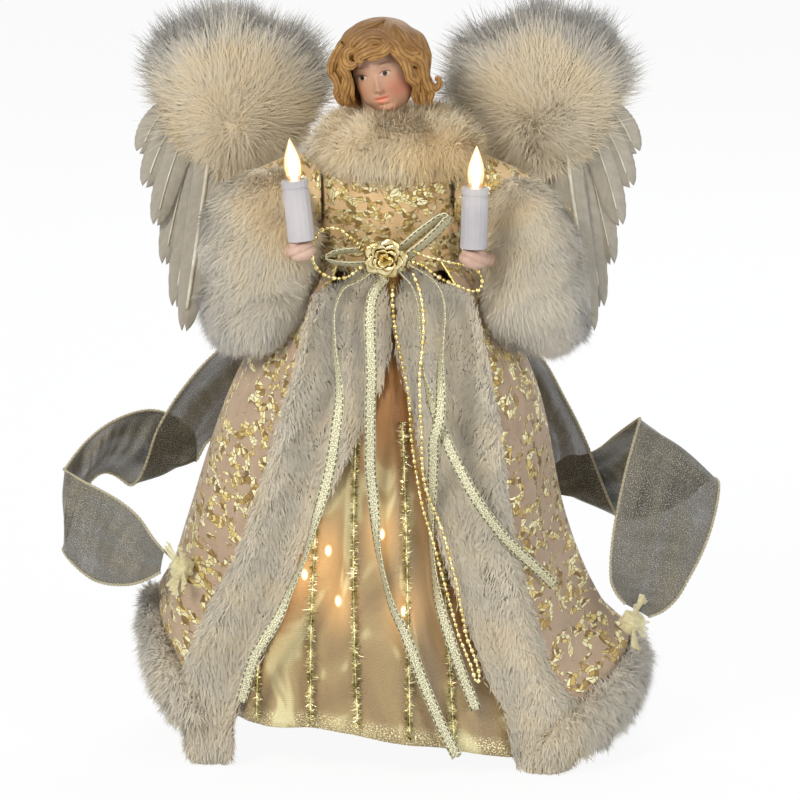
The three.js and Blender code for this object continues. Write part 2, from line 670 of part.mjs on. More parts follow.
// A piece made for the right, mirrored for the left
function onSide(side, geometry) {
  if (side > 0) return geometry;
  const flipped = geometry.index ? geometry : mergeVertices(geometry);
  flipped.scale(-1, 1, 1);
  const order = Array.from(flipped.index.array);
  for (let i = 0; i < order.length; i += 3) [order[i], order[i + 1]] = [order[i + 1], order[i]];
  flipped.setIndex(order);
  return flipped;
}

const sideName = (side) => (side < 0 ? 'left' : 'right');

// Coat's outer bulk down to below the cuffs as one solid, to keep the cuffs clear of it
function coatBulk(grow) {
  const angles = Array.from({ length: cuff.coatSides }, (unused, i) => (360 * i) / cuff.coatSides - 180);
  return loft(coatBulkShares.map((down) => angles.map(
    (angle) => coatPoint(angle, down, grow + coat.foldDepth * down))));
}

// Foot of a candle, and the middle of the fist under it
function candleBase(side) {
  const z = side < 0 ? candle.leftBaseZ : candle.rightBaseZ;
  const lean = side < 0 ? candle.leftLean : candle.rightLean;
  return { x: side * hand.x, y: hand.y, z, lean, fistZ: z - seam - hand.halfHeight * hand.seatShare };
}

const cuffX = (side) => (side < 0 ? cuff.leftX : cuff.rightX);

// End of the wrist inside the cuff
function wristEnd(side, z) {
  const x = between(hand.x, cuffX(side), hand.wristShare);
  return new THREE.Vector3(x, between(hand.y, cuff.y, hand.wristShare), z);
}

// Wrist of a hand, grown by a clearance, from the fist back into the cuff
function wristForm(side, grow = 0) {
  const { fistZ } = candleBase(side);
  const points = [new THREE.Vector3(hand.x, hand.y, fistZ), wristEnd(side, fistZ - hand.wristDrop)];
  return onSide(side, tube(points, 2 * (hand.wristRadius + grow), hand.sides, hand.wristSteps));
}

function armWireForm(side, grow = 0) {
  const end = wristEnd(side, candleBase(side).fistZ - hand.wristDrop);
  const points = vectors([
    [shoulder.x - overrun, shoulder.y, shoulder.z],
    [(shoulder.x + sleeve.elbowX) / 2, shoulder.y, shoulder.z],
    [sleeve.elbowX - armWire.diameter, sleeve.elbowY, sleeve.elbowZ],
    [cuffX(side), cuff.y / 2, between(sleeve.elbowZ, end.z, armWire.foreShare)],
    [end.x + seam, end.y + seam, end.z],
  ]);
  return onSide(side, tube(points, armWire.diameter + 2 * grow, armWire.sides, armWire.steps));
}

function cuffForm(side) {
  const x = cuffX(side);
  const rings = cuffShares.map(([down, widthShare, depthShare]) => oval(
    between(x - cuff.topInset, x + cuff.bottomOutset, down), between(cuff.y + cuff.topInset, cuff.y, down),
    between(cuff.topZ, cuff.bottomZ, down), cuff.halfWidth * widthShare, cuff.halfDepth * depthShare,
    cuff.sides));
  return onSide(side, loft(rings));
}

// Fist of a hand, grown by a clearance
function fistForm(base, grow = 0) {
  const { halfWidth, halfDepth, halfHeight, sides } = hand;
  return ellipsoid(halfWidth + grow, halfDepth + grow, halfHeight + grow, sides, sides / 2)
    .translate(base.x, base.y, base.fistZ);
}

// Space round a candle, from a little below its foot to above its top
function candleSpace(base, gap, below) {
  return roundBar(candle.radius + gap, -below, candle.height + overrun, candle.sides)
    .rotateY(radians(base.lean)).translate(base.x, base.y, base.z);
}

// Slab across the whole figure, up to a distance from its middle
function middleSlab(halfWidth) {
  return box([-halfWidth, -coat.hemDepth, 0], [halfWidth, coat.hemDepth, headTopZ]);
}

function makeArm(side) {
  const name = sideName(side);
  const base = candleBase(side);
  const nearBody = middleSlab(shoulder.x + seam);
  const wireSpace = armWireForm(side, seam);
  add(`sleeve_${name}`, cut(sleeveForm(side), nearBody, wireSpace), materials.brocade);
  const wireInside = middleSlab(torso.halfWidth / 2);
  add(`arm_wire_${name}`, cut(joined(armPin(side, 0), armWireForm(side)), wireInside), materials.steel);
  const palm = cut(joined(fistForm(base), wristForm(side)), wireSpace, candleSpace(base, seam, seam));
  add(`hand_${name}`, palm, materials.handResin);
  const cuffSpaces = [
    sleeveForm(side, seam), wristForm(side, seam), wireSpace, coatBulk(runningGap),
    candleSpace(base, runningGap, overrun), fistForm(base, seam), nearBody,
  ];
  add(`cuff_fur_${name}`, cut(cuffForm(side), ...cuffSpaces), materials.fur);
  makeCandle(name, base);
}

// Candle sleeve, its socket and its flame-shaped bulb, standing on the fist
function makeCandle(name, base) {
  const stand = new THREE.Group();
  stand.position.set(base.x, base.y, base.z);
  stand.rotation.y = radians(base.lean);
  part.add(stand);
  const inner = candle.radius - candle.wall;
  const capZ = candle.height - candle.capHeight;
  const waist = candle.radius - candle.grooveDepth;
  add(`candle_tube_${name}`, turned([
    [inner, 0], [candle.radius, 0], [candle.radius, capZ], [waist, capZ + candle.grooveDepth],
    [waist, capZ + candle.grooveHeight], [candle.radius, capZ + candle.grooveHeight + candle.grooveDepth],
    [candle.radius, candle.height], [inner, candle.height], [inner, 0],
  ], candle.sides), materials.whitePlastic, stand);
  const socketTop = candle.height - seam;
  const boreZ = socketTop - socket.boreDepth;
  add(`candle_socket_${name}`, turned([
    [0, socketTop - socket.length], [socket.radius, socketTop - socket.length], [socket.radius, socketTop],
    [socket.bore, socketTop], [socket.bore, boreZ], [0, boreZ],
  ], socket.sides), materials.whitePlastic, stand);
  const { baseRadius, radius, glassLength } = bulb;
  const seat = socketTop + seam;
  const profile = glassShares.map(([up, share]) => [radius * share, seat + glassLength * up]);
  add(`candle_bulb_${name}`, turned([
    [0, seat - bulb.baseLength], [baseRadius, seat - bulb.baseLength], [baseRadius, seat], ...profile,
  ], bulb.sides), materials.lampGlass, stand);
}

const wrapped = (angle) => ((((angle + 180) % 360) + 360) % 360) - 180;

// Coat: one sheet from its right front edge round the back to its left front edge
function makeCoat() {
  const outer = [];
  const inner = [];
  for (let i = 0; i <= coat.rows; i += 1) {
    const down = i / coat.rows;
    const from = along(rightEdgeAngles, down);
    const to = 360 + along(leftEdgeAngles, down);
    const row = (out) => Array.from({ length: coat.columns + 1 }, (unused, j) => {
      const angle = wrapped(between(from, to, j / coat.columns));
      return coatPoint(angle, down, coatFold(angle, down) + out);
    });
    outer.push(row(0));
    inner.push(row(-cloth.thickness));
  }
  add('coat', sheet(outer, inner, false), materials.brocade);
}

function makeSatin() {
  const row = (down, out) => Array.from(
    { length: satin.columns }, (unused, j) => satinPoint((360 * j) / satin.columns - 180, down, out));
  const rows = (out) => Array.from({ length: satin.rows + 1 }, (unused, i) => row(i / satin.rows, out));
  add('satin_skirt', sheet(rows(0), rows(-cloth.thickness), true), materials.satin);
}

// Size of a puffy strip's ring, smaller near its two ends
const endShare = (i, steps) => endShares[Math.min(i, steps - i)] ?? 1;

// Ring of a puffy strip on the coat, across a direction and its outward normal
function puffRing(middle, across, normal, halfAcross, halfOut, sides) {
  return oval(0, 0, 0, halfOut, halfAcross, sides).map(
    (p) => middle.clone().addScaledVector(normal, p.x).addScaledVector(across, p.y));
}

// Fur band round the coat's hem
function makeFurHem() {
  const from = along(rightEdgeAngles, 1) + furHem.endAngle;
  const to = 360 + along(leftEdgeAngles, 1) - furHem.endAngle;
  const rings = Array.from({ length: furHem.steps + 1 }, (unused, i) => {
    const angle = wrapped(between(from, to, i / furHem.steps));
    const middle = coatPoint(angle, 1, furHem.standOff).setZ(hemMiddleZ(angle));
    const normal = ovalNormal(angle, ...coatSize(angle, 1));
    const size = endShare(i, furHem.steps);
    const up = new THREE.Vector3(0, 0, 1);
    return puffRing(middle, up, normal, furHem.halfHeight * size, furHem.halfThickness * size, furHem.sides);
  });
  add('fur_hem', cut(loft(rings), belowTable()), materials.fur);
}

// Fur band down one front edge of the coat, from the waist to the table
function makeFurBand(side) {
  const edges = side < 0 ? leftEdgeAngles : rightEdgeAngles;
  const halfWidth = side < 0 ? furBand.leftHalfWidth : furBand.rightHalfWidth;
  const hemZ = coatHemZ(along(edges, 1));
  const rings = Array.from({ length: furBand.steps + 1 }, (unused, i) => {
    const z = between(furBand.topZ, -floorCut, i / furBand.steps);
    const down = (coat.waistZ - z) / (coat.waistZ - hemZ);
    const edge = along(edges, down);
    const inset = (halfWidth * furBand.seatShare + seam) / ovalDegree(edge, ...coatSize(edge, down));
    const angle = edge - side * inset;
    const middle = coatPoint(angle, down, furBand.standOff).setZ(z);
    const normal = ovalNormal(angle, ...coatSize(angle, down));
    const across = new THREE.Vector3(-normal.y, normal.x, 0);
    const size = endShare(i, furBand.steps);
    return puffRing(middle, across, normal, halfWidth * size, furBand.halfThickness * size, furBand.sides);
  });
  add(`fur_front_${sideName(side)}`, cut(loft(rings), belowTable()), materials.fur);
}

// Tinsel strands sewn down the satin: the angles of hem and top, and the top's share of the way down
const tinselStrands = [
  { hemAngle: -38, topAngle: -45, topShare: 0.8 }, { hemAngle: -22, topAngle: -33, topShare: 0.36 },
  { hemAngle: -8, topAngle: -17, topShare: 0.33 }, { hemAngle: 6, topAngle: 8, topShare: 0.32 },
  { hemAngle: 19, topAngle: 22, topShare: 0.55 },
];

function makeTinsel() {
  const standOff = tinsel.diameter / 2 + seam + runningGap;
  tinselStrands.forEach((strand, k) => {
    const points = Array.from({ length: tinsel.steps + 1 }, (unused, i) => {
      const down = between(strand.topShare, tinsel.hemShare, i / tinsel.steps);
      const way = (down - strand.topShare) / (1 - strand.topShare);
      const angle = between(strand.topAngle, strand.hemAngle, way);
      return satinPoint(angle, down, standOff);
    });
    add(`tinsel_${k + 1}`, tube(points, tinsel.diameter, tinsel.sides, tinsel.steps), materials.gold);
  });
}

// Metallic rose at the waist: a lobed rosette about an axis that points forward
function makeRose() {
  const ring = ([forward, size, turnShare]) => Array.from({ length: rose.sides }, (unused, i) => {
    const turn = (2 * Math.PI * i) / rose.sides;
    const lobe = 1 + rose.lobeShare * Math.cos(rose.petals * turn + 2 * Math.PI * turnShare);
    const radius = rose.radius * size * lobe;
    return new THREE.Vector3(rose.x, rose.y, rose.z).add(new THREE.Vector3(
      radius * Math.cos(turn), -rose.depth * forward, rose.heightShare * radius * Math.sin(turn)));
  });
  add('rose', loft(roseShares.map(ring)), materials.gold);
}

// Tape loop of the bow: out to its tip and back, edge-on to the bodice
function makeBowLoop(side) {
  const rise = side < 0 ? bow.leftRise : bow.rightRise;
  const seatY = -bodiceReach - seam - bow.loopWidth * bow.seatShare;
  const start = new THREE.Vector3((side * rose.radius) / 2, seatY, rose.z);
  const tip = start.clone().add(new THREE.Vector3(side * bow.reach, -bow.tipForward, rise));
  const apart = new THREE.Vector3(0, 0, bow.loopHeight / 2);
  const middle = start.clone().lerp(tip, 0.5);
  const points = [
    start.clone().sub(apart), middle.clone().sub(apart), tip, middle.clone().add(apart),
    start.clone().add(apart),
  ];
  const acrossAt = () => new THREE.Vector3(0, -1, bow.tiltShare);
  const loop = tape(points, acrossAt, bow.loopWidth, bow.loopThickness, bow.steps);
  add(`bow_loop_${sideName(side)}`, loop, materials.tape);
}

// Routes of the four tape tails, from behind the rose down over the skirt
const tailRoutes = [
  [
    [-6, -29, 205], [-9, -30, 202.5], [-13, -32.5, 200.5], [-17.5, -35, 198.5], [-20, -37, 194.5],
    [-21.5, -40, 189], [-21.5, -43.5, 181.5], [-21, -47, 172.5], [-19.5, -50.5, 161.5], [-19.5, -53, 153],
    [-20.5, -55, 145.5], [-22, -57.5, 135.5], [-24.5, -60, 123], [-29, -62.5, 108], [-34, -64, 91.5],
    [-39.5, -64.5, 79], [-44.5, -65, 67.5], [-49.5, -65, 59.5], [-54, -65, 51.5], [-57, -64.5, 42],
    [-59.5, -64, 33],
  ],
  [
    [-1.5, -29, 204], [-2, -31, 200.5], [-4, -34.5, 198.5], [-6, -37.5, 195], [-7, -41, 188.5],
    [-7, -45, 178], [-6.5, -48, 166], [-7, -49, 152.5], [-7, -49, 138], [-7, -49, 125.5], [-6, -49, 116], [-5, -50, 105],
    [-4, -52.5, 94], [-1.5, -56, 82.5], [2, -59.5, 71], [6.5, -62.5, 62], [10.5, -64.5, 52], [14, -65, 42],
    [18.5, -66, 31], [23, -66.5, 20.5], [28, -67, 10.5],
  ],
  [
    [3.5, -29, 205], [6.5, -31, 202], [9.5, -34, 199], [12, -37.5, 192.5], [13, -40.5, 183.5],
    [13.5, -43.5, 173.5], [14.5, -46, 165], [16.5, -48.5, 158], [19, -50.5, 150.5], [22, -52.5, 143],
    [26, -55, 134], [30.5, -57, 125], [35.5, -58, 116], [41.5, -57, 107], [47.5, -53.5, 98.5],
    [54.5, -49.5, 90.5], [61.5, -45.5, 83], [68, -41, 75.5],
  ],
  [
    [8.5, -29, 206.5], [13, -31, 204.5], [18, -34, 201.5], [21.5, -37, 197], [23, -40.5, 189.5],
    [22.5, -44, 181], [21.5, -47.5, 171.5], [21.5, -51, 161.5], [21.5, -53.5, 153.5], [20.5, -55.5, 146],
    [18.7, -55, 139.5], [18.6, -52.5, 131], [18.2, -49.2, 118.5], [17.5, -48.5, 106], [18, -49.5, 92.5],
    [19.5, -52.5, 79.5], [21.5, -55.5, 69.5], [24.2, -57.5, 61], [27, -59, 52.5], [30.2, -59.3, 43],
    [35.8, -60.3, 28.5],
  ],
];

function makeRibbonTails() {
  const facing = new THREE.Vector3(0, -1, 0);
  const acrossAt = (tangent) => new THREE.Vector3().crossVectors(tangent, facing);
  tailRoutes.forEach((route, k) => add(`ribbon_tail_${k + 1}`,
    tape(vectors(route), acrossAt, ribbon.width, ribbon.thickness, ribbon.steps), materials.tape));
}

// Routes of the three strings of small beads: two short loops at the bow and a long one down the front
const beadRoutes = {
  left: [
    [-10.6, -32, 213.5], [-12.5, -34.5, 216.5], [-16, -37, 220], [-19.5, -37, 222.5], [-24, -37, 223],
    [-27.5, -37, 221.5], [-29.5, -37, 218.5], [-30.5, -37, 214], [-30, -37.5, 209.5], [-28, -38, 206],
    [-24.5, -38, 203.5], [-20, -37.5, 202.5], [-16, -36, 203], [-11.2, -32.5, 206],
  ],
  right: [
    [10.5, -34, 208.5], [14.5, -36.5, 207.5], [18.5, -37.5, 204.5], [22.5, -38, 202], [26, -38.5, 200.5],
    [30, -38.5, 199], [33.5, -38, 197.5], [36.3, -37.5, 197.5], [38, -37, 199.5], [38, -36.5, 202.5],
    [36.2, -36, 205.5], [33, -35.5, 207], [27, -33.5, 208], [20, -32.5, 209.5], [14, -31.5, 211],
    [10.8, -31.5, 212.5],
  ],
  long: [
    [2.2, -30.2, 200], [2, -33, 198.7], [2, -36.5, 197], [2, -38, 192], [3, -38, 182], [6, -38.5, 167],
    [8.5, -39, 154], [9.5, -41, 138], [12, -45, 121], [14.5, -50, 109], [17, -51, 101], [20, -52, 90.5],
    [22.5, -54, 81.5], [24.5, -55.5, 74.5], [26.5, -56.5, 67], [29, -58, 58.5], [31.8, -59.5, 51.5],
    [34.4, -61, 45], [35.4, -61.7, 41.5], [36.4, -62, 40], [37.2, -61.7, 42], [36.6, -61, 46],
    [34.6, -60.2, 52], [32, -59, 58.5], [31, -58.5, 64], [29.4, -57.5, 71.5], [28, -56.5, 79.5],
    [25.5, -55, 89], [23, -53, 98.5], [19.5, -51.5, 108], [16.2, -52, 116], [14, -51.7, 127],
    [13.8, -51.5, 140], [13, -51, 154], [13, -49, 166], [14, -46.5, 176], [14.5, -44, 184],
    [14, -41.5, 192], [12.5, -39.5, 199], [10.5, -37.5, 204],
  ],
};

function makeBeadLoops() {
  for (const [name, route] of Object.entries(beadRoutes)) {
    const points = vectors(route);
    const steps = Math.round(smooth(points).getLength() / (bead.stepDiameters * bead.diameter));
    add(`bead_loop_${name}`, tube(points, bead.diameter, bead.sides, steps), materials.gold);
  }
}

// Organza ribbons, from the back of the waist out, round two folds and back to a knot on the coat's side.
// Each station pairs the ribbon's two edges, each an angle round the coat, a share of the way down it and
// a share of the ribbon's width out from it.
const organzaShares = {
  left: [
    [[-177, 0.02, 0.018], [-177, 0.08, 0.018]], [[-164, 0.03, 0.022], [-164, 0.16, 0.03]],
    [[-144, 0.1, 0.16], [-150, 0.26, 0.1]], [[-126, 0.2, 0.4], [-139, 0.34, 0.24]],
    [[-116, 0.31, 0.61], [-133, 0.43, 0.42]], [[-114, 0.43, 0.81], [-129, 0.51, 0.54]],
    [[-112, 0.55, 0.9], [-124, 0.56, 0.58]], [[-112, 0.67, 0.93], [-122, 0.61, 0.58]],
    [[-112.5, 0.71, 1.05], [-123.5, 0.6, 0.67]], [[-113, 0.7, 1.18], [-124, 0.54, 0.8]],
    [[-111, 0.68, 1.33], [-118, 0.49, 1.13]],
    [[-107, 0.7, 1.38], [-111, 0.52, 1.39]], [[-103, 0.78, 1.38], [-107, 0.59, 1.58]],
    [[-97, 0.89, 1.27], [-101, 0.66, 1.58]], [[-92, 0.91, 1.2], [-95, 0.67, 1.48]],
    [[-86, 0.95, 0.85], [-91, 0.72, 0.96]], [[-81, 0.93, 0.66], [-85, 0.75, 0.6]],
    [[-75, 0.88, 0.48], [-77, 0.78, 0.38]], [[-70, 0.82, 0.36], [-71, 0.77, 0.36]],
  ],
  right: [
    [[177, 0.02, 0.018], [177, 0.08, 0.018]], [[164, 0.03, 0.022], [164, 0.16, 0.03]],
    [[144, 0.1, 0.14], [150, 0.25, 0.1]], [[128, 0.19, 0.32], [141, 0.32, 0.22]],
    [[120, 0.29, 0.45], [136, 0.41, 0.37]], [[118, 0.39, 0.55], [130, 0.53, 0.5]],
    [[116, 0.5, 0.68], [129, 0.61, 0.48]], [[115, 0.62, 0.8], [129, 0.64, 0.46]],
    [[114, 0.73, 0.88], [128, 0.66, 0.46]], [[116, 0.75, 1.01], [132, 0.63, 0.63]],
    [[114, 0.75, 1.16], [127, 0.58, 0.75]], [[109, 0.73, 1.32], [119, 0.57, 0.85]],
    [[104, 0.69, 1.55], [111, 0.52, 0.97]], [[100, 0.63, 1.81], [104, 0.47, 1.13]],
    [[96, 0.63, 1.85], [98, 0.46, 1.09]], [[92, 0.69, 1.72], [92, 0.54, 0.88]],
    [[88, 0.76, 1.52], [86, 0.7, 0.59]], [[84, 0.83, 1.25], [81, 0.8, 0.42]],
    [[80, 0.9, 0.9], [76, 0.84, 0.42]], [[76, 0.91, 0.68], [74, 0.87, 0.52]],
  ],
};
// Each knot's angle, share of the way down the coat and share of the ribbon's width out from it
const knotShares = { left: [-66.5, 0.79, 0.2], right: [73, 0.91, 0.53] };

function makeOrganza(side) {
  const name = sideName(side);
  const place = ([angle, down, out]) => coatPoint(angle, down, out * organza.width);
  const [first, second] = [0, 1].map((edge) => smooth(organzaShares[name].map((pair) => place(pair[edge]))));
  const edges = Array.from({ length: organza.steps + 1 }, (unused, i) => [
    first.getPoint(i / organza.steps), second.getPoint(i / organza.steps),
  ]);
  add(`organza_ribbon_${name}`, strip(edges, organza.thickness), materials.organza);
  const middle = place(knotShares[name]);
  const puff = ellipsoid(knot.radius, knot.radius * knot.depthShare, knot.radius, knot.sides, knot.rows);
  add(`organza_knot_${name}`, puff.translate(middle.x, middle.y, middle.z), materials.knot);
}

// Outline of a wing's card and hanging feathers on the right: shares of the wing's half sizes from its centre
const cardOutlineShares = [
  [-1.32, -0.86], [-1.32, -1.14], [-1, -1.1], [-0.3, -1.0], [0.1, -1.25], [0.22, -1.7], [0.36, -2.1],
  [0.44, -2.45], [0.52, -2.57], [0.6, -2.4], [0.66, -2.1], [0.72, -2.28], [0.78, -2.1], [0.8, -1.7],
  [0.78, -1.2], [0.8, -0.4], [0.74, 0.2], [0.4, 0.6], [0, 0.64], [-0.4, 0.5], [-0.7, 0], [-0.85, -0.6],
];
// Wing fluff from its foot up: height, then sideways shift, half width and half depth, as shares
const fluffShares = [
  [-1, 0.06, 0.22, 0.3], [-0.8, 0.05, 0.52, 0.6], [-0.45, 0, 0.8, 0.85], [-0.05, -0.04, 0.98, 1],
  [0.35, 0, 1, 1], [0.68, 0.05, 0.84, 0.85], [0.9, 0.06, 0.54, 0.55], [1, 0.06, 0.24, 0.25],
];

// The wing's card and feathers in one flat piece, grown by a clearance
function wingCard(grow = 0) {
  const stretch = 1 + grow / wing.halfHeight;
  const outline = cardOutlineShares.map(([x, z]) => new THREE.Vector2(
    wingCentreX + x * stretch * wing.halfWidth, wingCentreZ + z * stretch * wing.halfHeight));
  const depth = wing.cardThickness + 2 * grow;
  return new THREE.ExtrudeGeometry(new THREE.Shape(outline), { depth, bevelEnabled: false })
    .rotateX(Math.PI / 2).translate(0, wing.cardY + depth / 2, 0);
}

// Upright bar on a wing's hinge line
function hingeBar(side, radius, halfHeight) {
  return roundBar(radius, wing.hingeZ - halfHeight, wing.hingeZ + halfHeight, bracket.sides)
    .translate(side * wing.hingeX, wing.cardY, 0);
}

function makeWing(side) {
  const name = sideName(side);
  const bore = bracket.pinRadius + seam;
  const knuckle = hingeBar(1, bore + bracket.knuckleWall, bracket.knuckleHeight / 2);
  const hole = hingeBar(1, bore, bracket.knuckleHeight);
  const card = cut(joined(wingCard(), knuckle), hole, ...earSpaces());
  add(`wing_feathers_${name}`, onSide(side, card), materials.feather);
  const rings = fluffShares.map(([up, shift, widthShare, depthShare]) => oval(
    wingCentreX + shift * wing.halfWidth, wing.cardY, wingCentreZ + up * wing.halfHeight,
    wing.halfWidth * widthShare, wing.fluffHalfDepth * depthShare, wing.sides));
  add(`wing_fluff_${name}`, onSide(side, cut(loft(rings), wingCard(seam))), materials.fluff);
}

// Heights between which an ear lies, above or below the knuckle
function earHeights(up) {
  const near = wing.hingeZ + up * (bracket.knuckleHeight / 2 + runningGap);
  const far = near + up * bracket.earThickness;
  return [Math.min(near, far), Math.max(near, far)];
}

// The two ears that hold a hinge pin above and below the knuckle
function bracketEars(side) {
  const reach = bracket.pinRadius + bracket.knuckleWall;
  const x = side * wing.hingeX;
  return [-1, 1].map((up) => {
    const [low, high] = earHeights(up);
    return box([x - reach, bracketBackY - bracket.thickness, low], [x + reach, wing.cardY + reach, high]);
  });
}

// Round spaces that keep the turning card clear of the ears' corners, on the right
function earSpaces() {
  const corner = Math.SQRT2 * (bracket.pinRadius + bracket.knuckleWall);
  return [-1, 1].map((up) => {
    const [low, high] = earHeights(up);
    return roundBar(corner + runningGap, low - seam, high + seam, bracket.sides)
      .translate(wing.hingeX, wing.cardY, 0);
  });
}

function makeBracket() {
  const plate = box([-bracket.halfWidth, bracketBackY - bracket.thickness, wing.hingeZ - bracket.height / 2],
    [bracket.halfWidth, bracketBackY, wing.hingeZ + bracket.height / 2]);
  const half = bracket.knuckleHeight / 2 + runningGap + bracket.earThickness / 2;
  const pins = [-1, 1].map((side) => hingeBar(side, bracket.pinRadius, half));
  const ears = [-1, 1].flatMap((side) => bracketEars(side));
  add('wing_bracket', joined(plate, ...ears, ...pins), materials.steel);
}

makeCone();
makeTreeTube();
makeSkirtLamps();
makeTorso();
makeHead();
makeBodice();
makeCollar();
for (const side of [-1, 1]) makeArm(side);
makeSatin();
makeCoat();
makeFurHem();
for (const side of [-1, 1]) makeFurBand(side);
makeTinsel();
makeRose();
for (const side of [-1, 1]) makeBowLoop(side);
makeRibbonTails();
makeBeadLoops();
for (const side of [-1, 1]) makeOrganza(side);
makeBracket();
for (const side of [-1, 1]) makeWing(side);

// The object's box is centred on the origin from front to back
part.position.y = -boxMiddleY;

export default part;
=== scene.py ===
"""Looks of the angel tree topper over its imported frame.

Points are worked out in millimetres about the cone's axis and become metres in the frame when a mesh is made.
Left and right are the viewer's. Angles round the skirts are in degrees, 0 at the front and positive to the
right.
"""
import math

import bpy
import numpy as np
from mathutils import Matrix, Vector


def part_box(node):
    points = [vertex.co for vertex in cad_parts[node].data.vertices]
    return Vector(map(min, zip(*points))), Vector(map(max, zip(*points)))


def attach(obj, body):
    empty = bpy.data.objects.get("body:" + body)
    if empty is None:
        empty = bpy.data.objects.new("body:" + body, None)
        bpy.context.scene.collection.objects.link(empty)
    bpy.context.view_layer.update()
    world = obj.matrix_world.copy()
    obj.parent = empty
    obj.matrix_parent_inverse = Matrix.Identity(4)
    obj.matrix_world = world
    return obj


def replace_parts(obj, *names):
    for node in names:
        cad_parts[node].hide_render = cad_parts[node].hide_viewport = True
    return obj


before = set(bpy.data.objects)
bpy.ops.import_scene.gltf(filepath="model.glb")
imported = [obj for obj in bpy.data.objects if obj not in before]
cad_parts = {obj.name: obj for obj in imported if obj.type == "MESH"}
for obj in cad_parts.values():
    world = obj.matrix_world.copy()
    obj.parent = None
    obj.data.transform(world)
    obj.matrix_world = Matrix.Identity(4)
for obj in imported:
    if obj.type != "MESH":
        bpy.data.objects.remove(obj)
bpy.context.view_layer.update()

# How far behind the cone's axis the frame's origin lies
BOX_MIDDLE_Y = 8.6
MM = 0.001
SIDES = {"left": -1, "right": 1}


# Camera at the photograph's viewing angle: distance and target in millimetres, elevation in degrees
CAMERA = {"distance": 1600, "elevation": 12, "target": (5, 0, 144.3), "lens": 172.7}


def placed(points):
    """Millimetres about the cone's axis as metres in the frame."""
    return (np.asarray(points, float) - [0, BOX_MIDDLE_Y, 0]) * MM


def make_camera():
    data = bpy.data.cameras.new("camera")
    data.lens = CAMERA["lens"]
    data.clip_end = 20
    camera = bpy.data.objects.new("camera", data)
    bpy.context.collection.objects.link(camera)
    up = math.radians(CAMERA["elevation"])
    away = np.array([0, -math.cos(up), math.sin(up)]) * CAMERA["distance"]
    camera.location = placed(np.array(CAMERA["target"]) + away)
    camera.rotation_euler = (math.radians(90) - up, 0, 0)
    bpy.context.scene.camera = camera


make_camera()


# Small vector and curve tools

def unit(vectors):
    vectors = np.asarray(vectors, float)
    return vectors / np.maximum(np.linalg.norm(vectors, axis=-1, keepdims=True), 1e-9)


def between(a, b, share):
    return a + (b - a) * share


def along(table, at):
    """Smooth curve through a table of pairs, held level past its ends."""
    last = len(table) - 1
    if at <= table[0][0]:
        return table[0][1]
    if at >= table[last][0]:
        return table[last][1]
    i = next(k for k in range(last) if at < table[k + 1][0])

    def slope(k):
        before, after = table[max(k - 1, 0)], table[min(k + 1, last)]
        return (after[1] - before[1]) / (after[0] - before[0])

    span = table[i + 1][0] - table[i][0]
    t = (at - table[i][0]) / span
    rise = table[i + 1][1] - table[i][1]
    leave, arrive = slope(i) * span, slope(i + 1) * span
    bend = 3 * rise - 2 * leave - arrive
    return table[i][1] + t * leave + t * t * bend + t**3 * (leave + arrive - 2 * rise)


def smoothstep(low, high, value):
    t = np.clip((value - low) / (high - low), 0, 1)
    return t * t * (3 - 2 * t)


def run_along(path):
    """Way from the first point of a path to each of its points."""
    return np.concatenate([[0], np.cumsum(np.linalg.norm(np.diff(path, axis=0), axis=1))])


def turns_round(count):
    """Even angles round a full turn, in radians."""
    return np.linspace(0, 2 * math.pi, count, endpoint=False)


def ball_points(tilts, turns):
    """Points of a unit ball over a grid of tilts from its top and turns round it."""
    tilts, turns = tilts[:, None], turns[None, :]
    sines, level = np.sin(tilts), np.ones_like(turns)
    return np.stack([sines * np.cos(turns), sines * np.sin(turns), np.cos(tilts) * level], axis=-1)


def smooth_path(points, steps):
    """Catmull-Rom curve through the points, at even shares of its parameter, and the directions along it."""
    points = np.asarray(points, float)
    knots = np.concatenate([[0], np.cumsum(np.sqrt(np.linalg.norm(np.diff(points, axis=0), axis=1)))])
    ends = np.vstack([2 * points[0] - points[1], points, 2 * points[-1] - points[-2]])
    knots = np.concatenate([[2 * knots[0] - knots[1]], knots, [2 * knots[-1] - knots[-2]]])
    at = np.linspace(0, len(points) - 1, steps + 1)
    out = []
    for value in at:
        i = min(int(value), len(points) - 2)
        t = between(knots[i + 1], knots[i + 2], value - i)
        p, k = ends[i:i + 4], knots[i:i + 4]
        a = [between(p[j], p[j + 1], (t - k[j]) / (k[j + 1] - k[j])) for j in range(3)]
        b = [between(a[j], a[j + 1], (t - k[j]) / (k[j + 2] - k[j])) for j in range(2)]
        out.append(between(b[0], b[1], (t - k[1]) / (k[2] - k[1])))
    out = np.array(out)
    return out, unit(np.gradient(out, axis=0))


def even_path(points, step):
    """The same curve at an even spacing."""
    fine, _ = smooth_path(points, 30 * len(points))
    run = run_along(fine)
    count = max(2, int(round(run[-1] / step)))
    at = np.linspace(0, run[-1], count + 1)
    even = np.stack([np.interp(at, run, fine[:, k]) for k in range(3)], axis=1)
    return even, unit(np.gradient(even, axis=0)), run[-1]


def wave(points, size, seed):
    """Smooth pseudo-random field between about -1 and 1 over points, with features of the given size."""
    waves = 6
    turns = np.random.default_rng(seed).normal(size=(waves, 3))
    phases = np.random.default_rng(seed + 1).uniform(0, 2 * math.pi, waves)
    total = sum(np.sin(np.asarray(points) @ turn / size * 2.2 + phase) for turn, phase in zip(turns, phases))
    return total / 3


# Meshes

